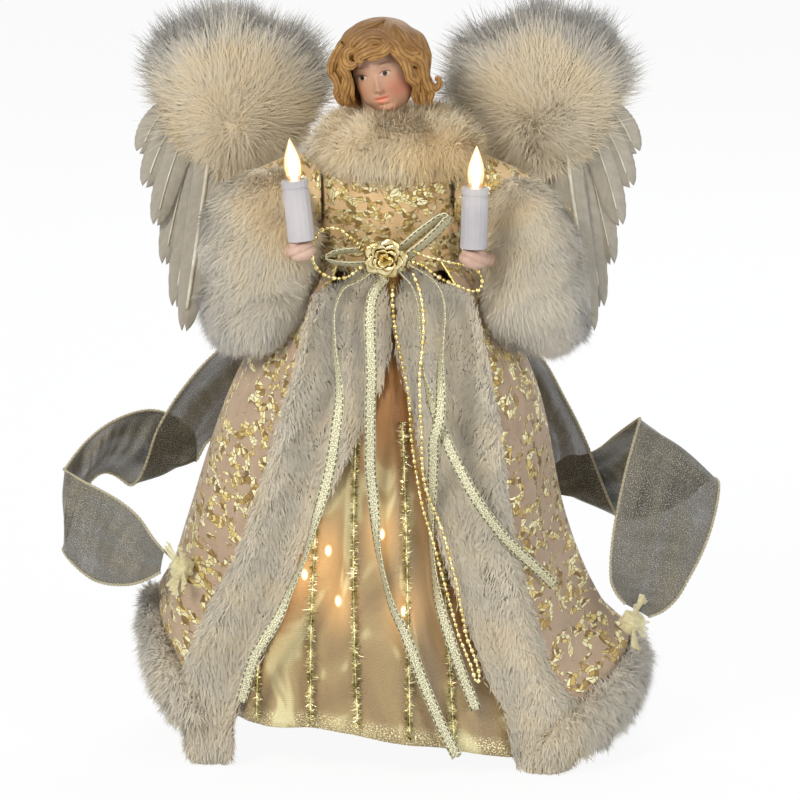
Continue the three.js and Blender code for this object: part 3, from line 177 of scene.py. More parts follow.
def grid_faces(rows, columns, closed=False, first=0):
    """Faces over a grid of points, and the row and column of each corner."""
    last = columns if closed else columns - 1
    i, j = np.meshgrid(np.arange(rows - 1), np.arange(last), indexing="ij")
    i, j = i.ravel(), j.ravel()
    corner_rows = np.stack([i, i, i + 1, i + 1], axis=1)
    corner_columns = np.stack([j, j + 1, j + 1, j], axis=1)
    faces = first + corner_rows * columns + corner_columns % columns
    return faces, corner_rows, corner_columns


def make_piece(name, points, faces, material, body, maps=None, smooth=True):
    """Object on a body; faces is a list of arrays of faces, maps gives UVs for every corner."""
    mesh = bpy.data.meshes.new(name)
    sizes = np.concatenate([np.full(len(group), group.shape[1]) for group in faces])
    corners = np.concatenate([group.ravel() for group in faces])
    mesh.vertices.add(len(points))
    mesh.vertices.foreach_set("co", placed(points).astype(np.float32).ravel())
    mesh.loops.add(len(corners))
    mesh.loops.foreach_set("vertex_index", corners.astype(np.int32))
    mesh.polygons.add(len(sizes))
    mesh.polygons.foreach_set("loop_start", (np.cumsum(sizes) - sizes).astype(np.int32))
    mesh.update(calc_edges=True)
    for map_name, values in (maps or {}).items():
        layer = mesh.uv_layers.new(name=map_name)
        layer.data.foreach_set("uv", np.asarray(values, np.float32).ravel())
    mesh.polygons.foreach_set("use_smooth", np.full(len(mesh.polygons), smooth))
    mesh.materials.append(material)
    mesh.update()
    piece = bpy.data.objects.new(name, mesh)
    bpy.context.collection.objects.link(piece)
    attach(piece, body)
    return piece


def thicken(piece, thickness, offset=0):
    """Gives cloth or tape its thickness, in millimetres."""
    solidify = piece.modifiers.new("thickness", "SOLIDIFY")
    solidify.thickness = thickness * MM
    solidify.offset = offset
    solidify.use_even_offset = False


def subdivide(piece, levels=1):
    subsurf = piece.modifiers.new("subdivision", "SUBSURF")
    subsurf.levels = levels
    subsurf.render_levels = levels


def cloth_piece(name, grid, material, body, closed=False, thickness=0.8, scale=0.01, offset=0):
    """Sheet over a grid of points, with a map of its own lengths along and across."""
    grid = np.asarray(grid, float)
    rows, columns = grid.shape[:2]
    faces, corner_rows, corner_columns = grid_faces(rows, columns, closed)
    middle = grid[rows // 2]
    ring = np.vstack([middle, middle[:1]]) if closed else middle
    across = run_along(ring)
    down = np.concatenate([[0], np.cumsum(np.linalg.norm(np.diff(grid, axis=0), axis=2).mean(axis=1))])
    cloth = np.stack([across[corner_columns], down[corner_rows]], axis=-1) * scale
    piece = make_piece(name, grid.reshape(-1, 3), [faces], material, body, {"Cloth": cloth})
    if thickness:
        thicken(piece, thickness, offset)
    return piece


# Materials

def srgb(red, green, blue):
    """Colour as it shows on a screen, 0 to 255, as the linear colour of a shader."""
    shown = [value / 255 for value in (red, green, blue)]
    return [((v + 0.055) / 1.055) ** 2.4 if v > 10 / 255 else v / 12.92 for v in shown] + [1]


class Nodes:
    """A node tree and short ways to add to it."""

    def __init__(self, tree):
        self.tree = tree
        tree.nodes.clear()

    def link(self, source, target):
        self.tree.links.new(source, target)

    def put(self, value, socket):
        """Gives a socket a link from another socket, or a constant."""
        if isinstance(value, bpy.types.NodeSocket):
            self.link(value, socket)
        else:
            socket.default_value = value

    def set(self, node, values):
        for name, value in values.items():
            self.put(value, node.inputs[name])

    def add(self, kind, values=None, **settings):
        node = self.tree.nodes.new(kind)
        for name, value in settings.items():
            setattr(node, name, value)
        self.set(node, values or {})
        return node

    def place(self, name=None):
        """Object coordinates in metres, or a named map."""
        if name:
            return self.add("ShaderNodeUVMap", uv_map=name).outputs[0]
        return self.add("ShaderNodeTexCoord").outputs["Object"]

    def stretched(self, vector, scale=(1, 1, 1)):
        return self.add("ShaderNodeMapping", {"Vector": vector, "Scale": scale}).outputs[0]

    def noise(self, vector, scale, detail=3, rough=0.55, distortion=0, flat=False):
        node = self.add("ShaderNodeTexNoise", noise_dimensions="2D" if flat else "3D")
        self.set(node, {"Vector": vector, "Scale": scale, "Detail": detail, "Roughness": rough})
        node.inputs["Distortion"].default_value = distortion
        return node.outputs[0]

    def math(self, operation, a, b=0.5, clamp=False):
        node = self.add("ShaderNodeMath", operation=operation, use_clamp=clamp)
        for socket, value in zip(node.inputs, (a, b)):
            self.put(value, socket)
        return node.outputs[0]

    def times(self, a, b):
        return self.math("MULTIPLY", a, b)

    def plus(self, a, b):
        return self.math("ADD", a, b)

    def minus(self, a, b):
        return self.math("SUBTRACT", a, b)

    def over(self, a, b):
        return self.math("DIVIDE", a, b)

    def most(self, a, b):
        return self.math("MAXIMUM", a, b)

    def absolute(self, a):
        return self.math("ABSOLUTE", a)

    def step(self, value, low, high):
        """Rises smoothly from 0 at low to 1 at high."""
        node = self.add("ShaderNodeMapRange", interpolation_type="SMOOTHSTEP")
        self.set(node, {"Value": value, "From Min": low, "From Max": high})
        return node.outputs[0]

    def split(self, vector):
        return self.add("ShaderNodeSeparateXYZ", {0: vector}).outputs

    def mix(self, share, a, b):
        node = self.add("ShaderNodeMix", data_type="RGBA")
        for socket, value in zip((node.inputs[0], node.inputs[6], node.inputs[7]), (share, a, b)):
            self.put(value, socket)
        return node.outputs[2]

    def blend(self, share, a, b):
        """Mixes two shaders."""
        node = self.add("ShaderNodeMixShader")
        for socket, value in zip(node.inputs, (share, a, b)):
            self.put(value, socket)
        return node.outputs[0]

    def seen(self):
        """1 for rays of the camera, straight, mirrored or through something clear, and 0 for light."""
        rays = self.add("ShaderNodeLightPath").outputs
        mirrored = self.most(rays["Is Camera Ray"], rays["Is Glossy Ray"])
        return self.most(mirrored, rays["Is Transmission Ray"])

    def ramp(self, value, stops):
        node = self.add("ShaderNodeValToRGB", {0: value})
        while len(node.color_ramp.elements) < len(stops):
            node.color_ramp.elements.new(0.5)
        for element, (at, colour) in zip(node.color_ramp.elements, stops):
            element.position = at
            element.color = colour
        return node.outputs[0]

    def bump(self, height, distance, strength=1.0, before=None):
        node = self.add("ShaderNodeBump", {"Height": height, "Distance": distance * MM, "Strength": strength})
        if before:
            self.link(before, node.inputs["Normal"])
        return node.outputs[0]


class Look(Nodes):
    """A material with one shader."""

    def __init__(self, name, **values):
        self.material = bpy.data.materials.new(name)
        self.material.use_nodes = True
        super().__init__(self.material.node_tree)
        self.output = self.add("ShaderNodeOutputMaterial")
        self.shader = self.add("ShaderNodeBsdfPrincipled", values)
        self.link(self.shader.outputs[0], self.output.inputs["Surface"])

    def colour(self, value):
        self.set(self.shader, {"Base Color": value})

    def normal(self, value):
        self.set(self.shader, {"Normal": value})


def plain_look(name, colour, other, scale, roughness=0.5, metallic=0.0, bump=0.0, **values):
    """A surface with a soft variation between two colours and a fine grain."""
    look = Look(name, **{"Roughness": roughness, "Metallic": metallic, **values})
    at = look.place()
    look.colour(look.mix(look.step(look.noise(at, scale), 0.35, 0.65), colour, other))
    if bump:
        fine = look.noise(at, scale * 12, detail=2)
        look.normal(look.bump(fine, bump))
    return look.material


# Fur shades run from warm gold through ivory to dark grey along U, and from root to tip along V. The warm
# gold end is painted candle light and the grey end is painted shade along the fur's outlines
FUR_ROOTS = [
    (0.0, srgb(238, 190, 116)), (0.25, srgb(228, 202, 154)), (0.5, srgb(222, 208, 182)),
    (0.75, srgb(192, 186, 176)), (1.0, srgb(150, 148, 148)),
]
FUR_TIPS = [
    (0.0, srgb(253, 218, 148)), (0.25, srgb(240, 217, 172)), (0.5, srgb(230, 219, 196)),
    (0.75, srgb(198, 193, 184)), (1.0, srgb(142, 141, 142)),
]


def fur_look():
    look = Look("fur_strands", **{"Roughness": 0.9, "Sheen Weight": 0.35, "Sheen Roughness": 0.6})
    u, v, _ = look.split(look.place("OFBake"))
    rise = look.step(v, 0.0, 0.7)
    look.colour(look.mix(rise, look.ramp(u, FUR_ROOTS), look.ramp(u, FUR_TIPS)))
    return look.material


def gold_pattern(look, at, size, fill):
    """Masks of broken rings and blots of foil and of its chips, and how bright each chip is."""
    coarse = {"Vector": at, "Scale": 14.0}
    colour = look.add("ShaderNodeTexNoise", coarse, noise_dimensions="2D").outputs["Color"]
    spread = look.add("ShaderNodeVectorMath", {0: colour, "Scale": 0.05}, operation="SCALE").outputs[0]
    shifted = look.add("ShaderNodeVectorMath", {0: at, 1: spread}, operation="ADD").outputs[0]
    cells = look.add("ShaderNodeTexVoronoi", {"Vector": shifted, "Scale": size, "Randomness": 0.8},
                     voronoi_dimensions="2D", feature="F1").outputs["Distance"]
    ring = look.absolute(look.minus(cells, 0.36))
    uneven = look.times(look.noise(at, size * 4, detail=2, flat=True), 0.16)
    wide = look.step(look.plus(ring, uneven), 0.205 + 0.3 * fill, 0.175 + 0.3 * fill)
    gaps = look.step(look.noise(at, size * 1.2, detail=1, flat=True), 0.41 - 0.2 * fill, 0.45 - 0.2 * fill)
    specks = look.noise(at, size * 2.2, detail=2, distortion=0.6, flat=True)
    blots = look.step(specks, 0.63 - 0.12 * fill, 0.66)
    mask = look.most(look.times(wide, gaps), blots)
    small = {"Vector": shifted, "Scale": size * 6.5, "Randomness": 1.0}
    edge = look.add("ShaderNodeTexVoronoi", small, voronoi_dimensions="2D", feature="DISTANCE_TO_EDGE")
    chips = look.step(edge.outputs["Distance"], 0.03, 0.1)
    tone = look.add("ShaderNodeTexVoronoi", small, voronoi_dimensions="2D", feature="F1").outputs["Color"]
    return mask, chips, look.split(tone)[0]


# Tones of the foil chips: partly the foil's own gold and bronze, with painted glints at the pale end and
# painted shade at the dark end
FOIL_TONES_AND_PAINTED_LIGHT = [
    (0.0, srgb(122, 92, 46)), (0.3, srgb(192, 158, 84)), (0.55, srgb(236, 212, 132)),
    (0.8, srgb(254, 246, 196)),
]


def brocade_look(name, low, high, fill, size):
    """Pale cloth with a slanting hatch and broken rings of gold and bronze foil chips, whose tones carry
    painted glints and painted shade.
    """
    look = Look(name, **{"Sheen Weight": 0.15})
    at = look.place("Cloth")
    mask, chips, tone = gold_pattern(look, look.stretched(at, (0.85, 1.05, 1)), size, fill)
    hatching = {"Vector": at, "Scale": 60.0, "Distortion": 0.5}
    hatch = look.add("ShaderNodeTexWave", hatching, bands_direction="DIAGONAL").outputs["Fac"]
    base = look.mix(look.noise(at, 9, detail=4, flat=True), low, high)
    base = look.mix(look.times(hatch, 0.24), base, srgb(170, 136, 104))
    gold = look.ramp(tone, FOIL_TONES_AND_PAINTED_LIGHT)
    outline = look.times(look.times(mask, look.minus(1.0, chips)), 0.75)
    foil = look.times(mask, chips)
    look.colour(look.mix(foil, look.mix(outline, base, srgb(138, 104, 60)), gold))
    look.set(look.shader, {
        "Metallic": look.times(foil, 0.5),
        "Roughness": look.minus(0.72, look.times(foil, 0.4)),
    })
    raised = look.bump(tone, 0.3, 0.6, look.bump(foil, 0.35, 0.9))
    look.normal(look.bump(hatch, 0.1, 0.5, raised))
    return look.material


# The five lamps that glow through the satin: x and z where they meet it, and how far each glow is
# squashed upright
LAMP_SQUASH = 0.6
LAMP_SPOTS = [(-24.3, 90.5), (-34, 81), (-20.2, 71), (-2.5, 98.5), (6.6, 68)]


def satin_look():
    """Gold satin with fine weft lines, painted highlight streaks, a painted warm orange glow near the coat's
    edges and the top, the lamps' glow painted on it as emission, and a glittering border.
    """
    look = Look("satin", **{"Roughness": 0.36, "Sheen Weight": 0.1, "Anisotropic": 0.4})
    cloth, at = look.place("Cloth"), look.place()
    x, y, z = look.split(at)
    weft = look.add("ShaderNodeTexWave", {"Vector": cloth, "Scale": 34.0, "Distortion": 1.5, "Detail": 2.0},
                    bands_direction="Y").outputs["Fac"]
    # Streaks between two close tones, and painted highlights where they run brightest
    streaks = look.noise(look.stretched(cloth, (6, 2.0, 1)), 1, detail=2, distortion=1.0, flat=True)
    tone = look.mix(look.step(streaks, 0.35, 0.6), srgb(168, 142, 102), srgb(186, 160, 114))
    tone = look.mix(look.step(streaks, 0.56, 0.7), tone, srgb(240, 228, 172))
    # Painted warm glow through the satin: deeper orange beside the coat's front edges and towards the top
    open_half = look.plus(look.times(look.minus(0.18, z), 0.27), 0.01)
    beside = look.over(look.absolute(look.plus(x, 0.008)), open_half)
    painted_warm_glow = look.times(look.step(beside, 0.45, 1.0), look.step(z, 0.03, 0.07))
    painted_warm_glow = look.most(painted_warm_glow, look.step(z, 0.1, 0.15))
    tone = look.mix(look.times(painted_warm_glow, 0.75), tone, srgb(188, 120, 50))
    tone = look.mix(look.times(weft, 0.2), tone, srgb(142, 110, 72))
    # The lamps' glow painted on the satin as emission at the spots where it shows
    flat = look.add("ShaderNodeCombineXYZ", {"X": x, "Z": look.times(z, LAMP_SQUASH)}).outputs[0]
    glow = 0
    for spot_x, spot_z in LAMP_SPOTS:
        spot = tuple(placed((spot_x, BOX_MIDDLE_Y, spot_z * LAMP_SQUASH)))
        near = look.add("ShaderNodeVectorMath", {0: flat, 1: spot}, operation="DISTANCE").outputs["Value"]
        core = look.times(look.step(near, 0.0018, 0.0002), 2.6)
        halo = look.times(look.math("POWER", look.step(near, 0.016, 0.0), 2.0), 0.45)
        glow = look.plus(glow, look.plus(core, halo))
    glow = look.times(glow, look.step(y, -0.02, -0.04))
    glitter = look.step(look.noise(cloth, 200, detail=1, flat=True), 0.52, 0.6)
    border = look.times(look.step(look.split(cloth)[1], 1.89, 1.93), glitter)
    look.colour(look.mix(border, tone, srgb(246, 236, 186)))
    look.set(look.shader, {
        "Metallic": look.times(border, 0.6),
        "Emission Color": look.mix(look.step(glow, 0.5, 2.6), srgb(255, 186, 106), srgb(255, 244, 214)),
        "Emission Strength": glow,
        "Normal": look.bump(glitter, 0.2, 0.8, look.bump(weft, 0.05, 0.4)),
    })
    return look.material


def tape_look(name, low, high):
    """Silvery gold woven metallic tape with a dark dashed stitch along both edges."""
    look = Look(name, **{"Metallic": 0.3, "Roughness": 0.34})
    cloth = look.place("Cloth")
    across, run, _ = look.split(cloth)
    edge = look.absolute(look.minus(across, 0.5))
    dashes = look.step(look.math("SINE", look.times(run, 2 * math.pi / 0.024)), -0.4, 0.0)
    line = look.step(look.absolute(look.minus(edge, 0.38)), 0.08, 0.045)
    line = look.times(line, dashes)
    weave = look.noise(look.stretched(cloth, (9, 200, 1)), 1, detail=2, flat=True)
    # Pale threads in the weave: partly the metal thread's own colour, partly painted glints
    sparkle = look.step(weave, 0.42, 0.6)
    gold = look.mix(sparkle, low, high)
    look.colour(look.mix(look.times(line, 0.9), gold, srgb(84, 74, 44)))
    look.normal(look.bump(weave, 0.35, 0.9))
    return look.material


def organza_look():
    """Sheer sparkling mesh: dark grey-taupe threads with clear holes between them."""
    look = Look("organza_mesh", **{"Roughness": 0.42, "Metallic": 0.2, "Sheen Weight": 0.2})
    at = look.place("Cloth")
    fold = look.noise(look.stretched(at, (9, 2, 1)), 1, detail=3, flat=True)
    grain = look.noise(at, 260, detail=2, flat=True)
    # Pale specks of glitter in the mesh, partly painted glints
    sparkle = look.step(grain, 0.6, 0.68)
    tone = look.mix(look.step(fold, 0.3, 0.7), srgb(50, 46, 38), srgb(98, 92, 78))
    look.colour(look.mix(sparkle, tone, srgb(206, 198, 176)))
    cover = look.plus(look.times(fold, 0.5), look.times(grain, 0.55))
    look.set(look.shader, {
        "Alpha": look.math("ADD", cover, 0.44, clamp=True),
        "Normal": look.bump(grain, 0.2, 0.7),
    })
    return look.material


def sheer_yellow_look():
    look = Look("sheer_yellow", **{"Roughness": 0.45, "Sheen Weight": 0.4})
    at = look.place()
    look.colour(look.mix(look.noise(at, 420), srgb(206, 190, 132), srgb(250, 242, 196)))
    cover = look.times(look.noise(at, 700), 0.5)
    look.set(look.shader, {"Alpha": look.math("ADD", cover, 0.5, clamp=True)})
    return look.material


def feather_look():
    """Taupe grey vane with fine slanting barbs and soft patches of paler and darker grey."""
    look = Look("quill_feather", **{"Roughness": 0.55, "Sheen Weight": 0.3})
    at = look.place("Cloth")
    slanted = {"Vector": at, "Scale": 12.0, "Distortion": 3.0, "Detail": 2.0}
    barbs = look.add("ShaderNodeTexWave", slanted, bands_direction="DIAGONAL").outputs["Fac"]
    tone = look.mix(look.noise(at, 3, flat=True), srgb(166, 157, 140), srgb(202, 194, 178))
    look.colour(look.mix(look.times(barbs, 0.4), tone, srgb(132, 124, 108)))
    look.normal(look.bump(barbs, 0.15, 0.6))
    return look.material


def hair_look():
    """Painted golden ochre hair, browner on the crown and darker in its grooves."""
    look = Look("painted_hair", **{"Roughness": 0.62})
    at = look.place()
    groove = look.split(look.place("Groove"))[0]
    shades = look.step(look.noise(at, 240, detail=4), 0.3, 0.7)
    tone = look.mix(shades, srgb(142, 100, 46), srgb(188, 142, 76))
    crown = look.step(look.split(at)[2], 0.289, 0.302)
    tone = look.mix(look.times(crown, 0.75), tone, srgb(126, 92, 56))
    look.colour(look.mix(look.step(groove, 0.0, 0.75), srgb(112, 72, 32), tone))
    look.normal(look.bump(look.noise(at, 700), 0.14, 0.6))
    return look.material


# The face's map runs from its middle, at 0.5, by this much for each millimetre
FACE_MAP_SCALE = 0.03


def face_look():
    """Painted doll's face: eyes, brows, lips and blush over a soft peach."""
    look = Look("painted_face", **{"Roughness": 0.5, "Subsurface Weight": 0.06,
                                   "Subsurface Radius": (0.004, 0.002, 0.001)})
    flat, at = look.place("Face"), look.place()
    u, v, _ = look.split(flat)
    x = look.over(look.minus(u, 0.5), FACE_MAP_SCALE)
    z = look.over(look.minus(v, 0.5), FACE_MAP_SCALE)
    across = look.absolute(x)

    def spot(centre_x, centre_z, wide, high, soft, of=across):
        """Mask of an ellipse: 1 inside, falling to 0 over the soft share of its size."""
        dx = look.over(look.minus(of, centre_x), wide)
        dz = look.over(look.minus(z, centre_z), high)
        far = look.math("SQRT", look.plus(look.times(dx, dx), look.times(dz, dz)))
        return look.step(far, 1 + soft, 1 - soft)

    def tinted(skin, mask, strength, colour):
        return look.mix(look.times(mask, strength), skin, colour)

    skin = look.mix(look.noise(at, 60), srgb(190, 146, 116), srgb(202, 162, 132))
    skin = tinted(skin, spot(0, 6.5, 12, 4.5, 0.8), 0.45, srgb(186, 148, 128))
    skin = tinted(skin, spot(8.6, -7.0, 4.6, 4.2, 0.9, x), 0.7, srgb(194, 110, 84))
    skin = tinted(skin, spot(-6.6, -6.0, 3.4, 3.2, 0.9, x), 0.4, srgb(198, 120, 92))
    skin = tinted(skin, spot(2.2, -14.6, 3.6, 2.2, 0.9, x), 0.35, srgb(202, 122, 86))
    # Painted shadow down the right side of the nose
    skin = tinted(skin, spot(2.4, -3.0, 1.2, 4.2, 0.9, x), 0.4, srgb(178, 130, 108))
    skin = tinted(skin, spot(0.9, -7.4, 2.0, 0.7, 0.9, x), 0.35, srgb(186, 118, 92))
    skin = tinted(skin, spot(5.1, 1.3, 3.0, 1.2, 0.7), 0.35, srgb(182, 138, 118))
    bend = look.math("POWER", look.minus(across, 5.6), 2.0)
    bow = look.minus(4.35, look.times(0.12, bend))
    brow = look.step(look.absolute(look.minus(z, bow)), 0.5, 0.12)
    brow = look.times(brow, look.times(look.step(across, 2.1, 3.2), look.step(across, 8.6, 7.4)))
    skin = tinted(skin, brow, 0.55, srgb(140, 98, 66))
    white = spot(5.0, -0.05, 2.1, 0.78, 0.12)
    skin = tinted(skin, white, 0.75, srgb(206, 190, 174))
    iris = look.times(spot(4.95, 0.1, 0.98, 0.98, 0.14), spot(5.0, -0.02, 2.2, 0.95, 0.1))
    skin = tinted(skin, iris, 1, srgb(58, 34, 24))
    skin = tinted(skin, look.times(spot(4.95, 0.1, 0.5, 0.5, 0.2), white), 1, srgb(16, 10, 10))
    lid = look.minus(spot(5.0, 0.12, 2.5, 1.2, 0.1), spot(5.0, -0.18, 2.4, 1.08, 0.1))
    lash = look.times(look.most(lid, 0.0), look.step(z, -0.3, 0.3))
    skin = tinted(skin, lash, 0.85, srgb(92, 56, 40))
    under = look.minus(spot(5.0, -0.1, 2.3, 1.15, 0.15), spot(5.0, 0.1, 2.3, 1.05, 0.15))
    under = look.times(look.most(under, 0.0), look.step(z, 0.0, -0.5))
    skin = tinted(skin, under, 0.3, srgb(150, 100, 84))
    upper = look.most(spot(-0.3, -9.45, 1.9, 0.85, 0.25, x), spot(2.2, -9.45, 1.9, 0.85, 0.25, x))
    upper = look.times(upper, look.step(z, -10.15, -9.95))
    lower = look.times(spot(0.95, -10.7, 2.5, 1.2, 0.22, x), look.step(z, -9.8, -10.0))
    skin = tinted(skin, upper, 0.8, srgb(214, 122, 98))
    skin = tinted(skin, lower, 0.85, srgb(232, 142, 116))
    line = look.step(look.absolute(look.minus(z, -9.97)), 0.22, 0.04)
    line = look.times(line, look.step(look.absolute(look.minus(x, 0.95)), 2.9, 2.3))
    look.colour(tinted(skin, line, 0.6, srgb(150, 66, 54)))
    look.normal(look.bump(look.noise(at, 1500), 0.04, 0.3))
    return look.material


BULB_TINTS = [(0.0, srgb(236, 128, 40)), (0.3, srgb(244, 196, 104)), (0.7, srgb(226, 190, 126))]


def bulb_look():
    """Clear flame bulb lit from inside: amber foot, bright middle, clear tip."""
    look = Look("candle_bulb", **{"Roughness": 0.08, "Base Color": srgb(214, 176, 112), "Coat Weight": 0.4})
    height = look.split(look.place())[2]
    low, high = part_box("candle_bulb_left")
    share = look.over(look.minus(height, low[2] + 0.007), high[2] - low[2])
    facing = look.add("ShaderNodeLayerWeight", {"Blend": 0.5}).outputs["Facing"]
    core = look.times(look.step(facing, 0.55, 0.12), look.step(share, 0.85, 0.45))
    look.set(look.shader, {
        "Emission Color": look.mix(core, look.ramp(share, BULB_TINTS), srgb(255, 252, 232)),
        "Emission Strength": look.plus(0.35, look.times(core, 1.2)),
    })
    return look.material


def metal_look(name, colour, other, roughness):
    return plain_look(name, colour, other, 260, roughness, 1.0, 0.06)


LOOKS = {
    "fur": fur_look(),
    "brocade": brocade_look("brocade", srgb(170, 144, 120), srgb(198, 174, 148), 0.13, 9.0),
    "bodice": brocade_look("bodice_brocade", srgb(222, 176, 112), srgb(244, 216, 172), 0.26, 11.0),
    "satin": satin_look(),
    "tape": tape_look("metallic_tape", srgb(160, 152, 112), srgb(250, 246, 214)),
    # The same metallic tape painted brighter for the bow: painted light on the loops
    "bow": tape_look("bow_tape_painted_lit", srgb(214, 206, 160), srgb(255, 252, 228)),
    "organza": organza_look(),
    "sheer_yellow": sheer_yellow_look(),
    "feather": feather_look(),
    "hair": hair_look(),
    "face": face_look(),
    "skin": plain_look("painted_skin", srgb(206, 156, 126), srgb(216, 174, 144), 60, 0.42, 0, 0.04),
    "bulb": bulb_look(),
    "gold": metal_look("polished_gold", srgb(236, 222, 176), srgb(190, 168, 110), 0.12),
    "bead": metal_look("gold_bead", srgb(246, 230, 172), srgb(206, 178, 104), 0.2),
    "tinsel": metal_look("tinsel_gold", srgb(250, 242, 196), srgb(150, 138, 84), 0.28),
    "piping": metal_look("gold_piping", srgb(240, 222, 156), srgb(192, 164, 96), 0.42),
    "steel": metal_look("wire_steel", srgb(170, 170, 168), srgb(130, 130, 128), 0.35),
    "card": plain_look("coated_card", srgb(240, 238, 230), srgb(228, 224, 212), 60, 0.6, 0, 0.05),
    "plastic": plain_look("candle_plastic", srgb(202, 197, 196), srgb(184, 179, 182), 40, 0.38, 0, 0.03),
    "wire": plain_look("lead_green", srgb(46, 78, 50), srgb(34, 60, 38), 90, 0.5, 0, 0.05),
    "foam": plain_look("torso_foam", srgb(236, 230, 218), srgb(224, 216, 200), 200, 0.9, 0, 0.2),
    "hand": plain_look("painted_hand", srgb(214, 180, 160), srgb(196, 160, 140), 120, 0.45, 0, 0.05),
    "quill": plain_look("quill", srgb(236, 232, 216), srgb(206, 198, 178), 120, 0.4, 0, 0.05),
    "lamp_glass": plain_look("lamp_glass", srgb(255, 240, 200), srgb(255, 226, 170), 200, 0.1,
                             **{"Emission Color": srgb(255, 214, 140), "Emission Strength": 2.5}),
    "edge": plain_look("stitched_edge", srgb(226, 216, 186), srgb(186, 174, 140), 1500, 0.6, 0.1, 0.3),
}


def dress_nodes():
    """Materials for the frame's own solids that stay in view."""
    kept = {
        "card": ["base_cone", "tree_tube", "lower_disc", "stop_disc"],
        "wire": ["light_string"],
        "foam": ["torso_form"],
        "steel": ["arm_wire_left", "arm_wire_right", "wing_bracket"],
        "plastic": ["candle_tube_left", "candle_tube_right", "candle_socket_left", "candle_socket_right"],
        "bulb": ["candle_bulb_left", "candle_bulb_right"],
        "lamp_glass": [f"skirt_bulb_{k + 1}" for k in range(8)],
    }
    for key, names in kept.items():
        for name in names:
            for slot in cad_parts[name].material_slots:
                slot.material = LOOKS[key]


dress_nodes()


# The skirts' shapes, as in the frame

COAT = {"waist_z": 205.7, "half_width": 100, "depth": 76, "fold_depth": 3.2, "folds": 9}
SATIN = {"waist_z": 203, "half_width": 84, "depth": 68, "highest_z": 20, "fold_depth": 2.4, "folds": 10}
FUR_HEM = {"half_height": 14, "lift": 36.5, "stand_off": 4}
FLOOR_CUT = 0.5
SEAM = 0.3
COAT_LEFT = [[0, 0.29], [0.05, 0.37], [0.22, 0.53], [0.43, 0.68], [0.78, 0.85], [1, 0.95]]
COAT_RIGHT = [[0, 0.29], [0.05, 0.39], [0.2, 0.52], [0.38, 0.63], [0.7, 0.73], [0.92, 0.87], [1, 1]]
COAT_DEPTH = [[0, 0.3], [0.05, 0.42], [0.4, 0.67], [0.75, 0.86], [1, 1]]
SATIN_SHARES = [[0, 0.264], [0.08, 0.32], [0.47, 0.62], [0.8, 0.86], [1, 1]]
HEM_LIFT = [
    [-180, 0], [-130, 0.35], [-105, 0.85], [-90, 1], [-72, 0.64], [-53, 0.22], [-44, 0.04],
    [38, 0.02], [57, 0.18], [75, 0.4], [90, 0.53], [110, 0.4], [140, 0.1], [180, 0],
]
# Angles of the coat's two front edges from the waist down
EDGES = {
    "left": [[0, -44], [0.22, -36], [0.6, -40], [0.87, -49], [1, -55]],
    "right": [[0, 49], [0.38, 40], [0.55, 38.5], [0.8, 41], [1, 41]],
}
SATIN_HEM = [[-180, 0.6], [-60, 0.9], [-45, 1], [-10, 0.95], [20, 0.55], [40, 0.3], [90, 0.5], [180, 0.6]]


def wrapped(angle):
    return (angle + 180) % 360 - 180


def oval_normal(angle, half_width, depth):
    turn = math.radians(angle)
    return unit(np.array([math.sin(turn) / half_width, -math.cos(turn) / depth, 0]))


def oval_point(angle, half_width, depth, z, out=0):
    turn = math.radians(angle)
    point = np.array([half_width * math.sin(turn), -depth * math.cos(turn), z])
    return point + oval_normal(angle, half_width, depth) * out


def hem_middle(angle):
    return FUR_HEM["half_height"] - FLOOR_CUT + FUR_HEM["lift"] * along(HEM_LIFT, angle)


def coat_hem(angle):
    return hem_middle(angle) + FUR_HEM["half_height"] + SEAM


def coat_size(angle, down):
    table = COAT_LEFT if math.sin(math.radians(angle)) < 0 else COAT_RIGHT
    return COAT["half_width"] * along(table, down), COAT["depth"] * along(COAT_DEPTH, down)


def coat_point(angle, down, out=0):
    return oval_point(angle, *coat_size(angle, down), between(COAT["waist_z"], coat_hem(angle), down), out)


def coat_surface(angle, down):
    """Point of the coat: folds, a gathered waist and fine wrinkles, turned out behind the hem's fur."""
    turn = math.radians(angle)
    fold = COAT["fold_depth"] * down * down * math.sin(math.radians(angle * COAT["folds"]))
    gather = 0.45 * math.sin(turn * 34 + 2 * math.sin(turn * 3)) * (1 - down) ** 2
    wrinkle = 0.5 * down * math.sin(turn * 23 + 4 * down + 1.7 * math.sin(turn * 5))
    behind_fur = float(smoothstep(0.9, 1, down))
    return coat_point(angle, down, between(fold + gather + wrinkle - 0.3, 1.2, behind_fur))


def satin_point(angle, down, out=0):
    share = along(SATIN_SHARES, down)
    z = between(SATIN["waist_z"], SATIN["highest_z"] * along(SATIN_HEM, angle), down)
    return oval_point(angle, SATIN["half_width"] * share, SATIN["depth"] * share, z, out)


def satin_surface(angle, down):
    """Point of the satin: broad folds, uneven ones between them, sharp creases and a gathered waist."""
    turn = math.radians(angle)
    fold = SATIN["fold_depth"] * down * math.cos(turn * SATIN["folds"])
    uneven = 0.8 * down * math.sin(turn * 17 + 1.3 * math.sin(turn * 4))
    crease = -0.9 * down**0.6 * abs(math.sin(turn * 13 + 0.8 * down)) ** 3
    gather = 0.4 * (1 - down) ** 2 * math.sin(turn * 46)
    return satin_point(angle, down, fold + uneven + crease + gather - 0.6)


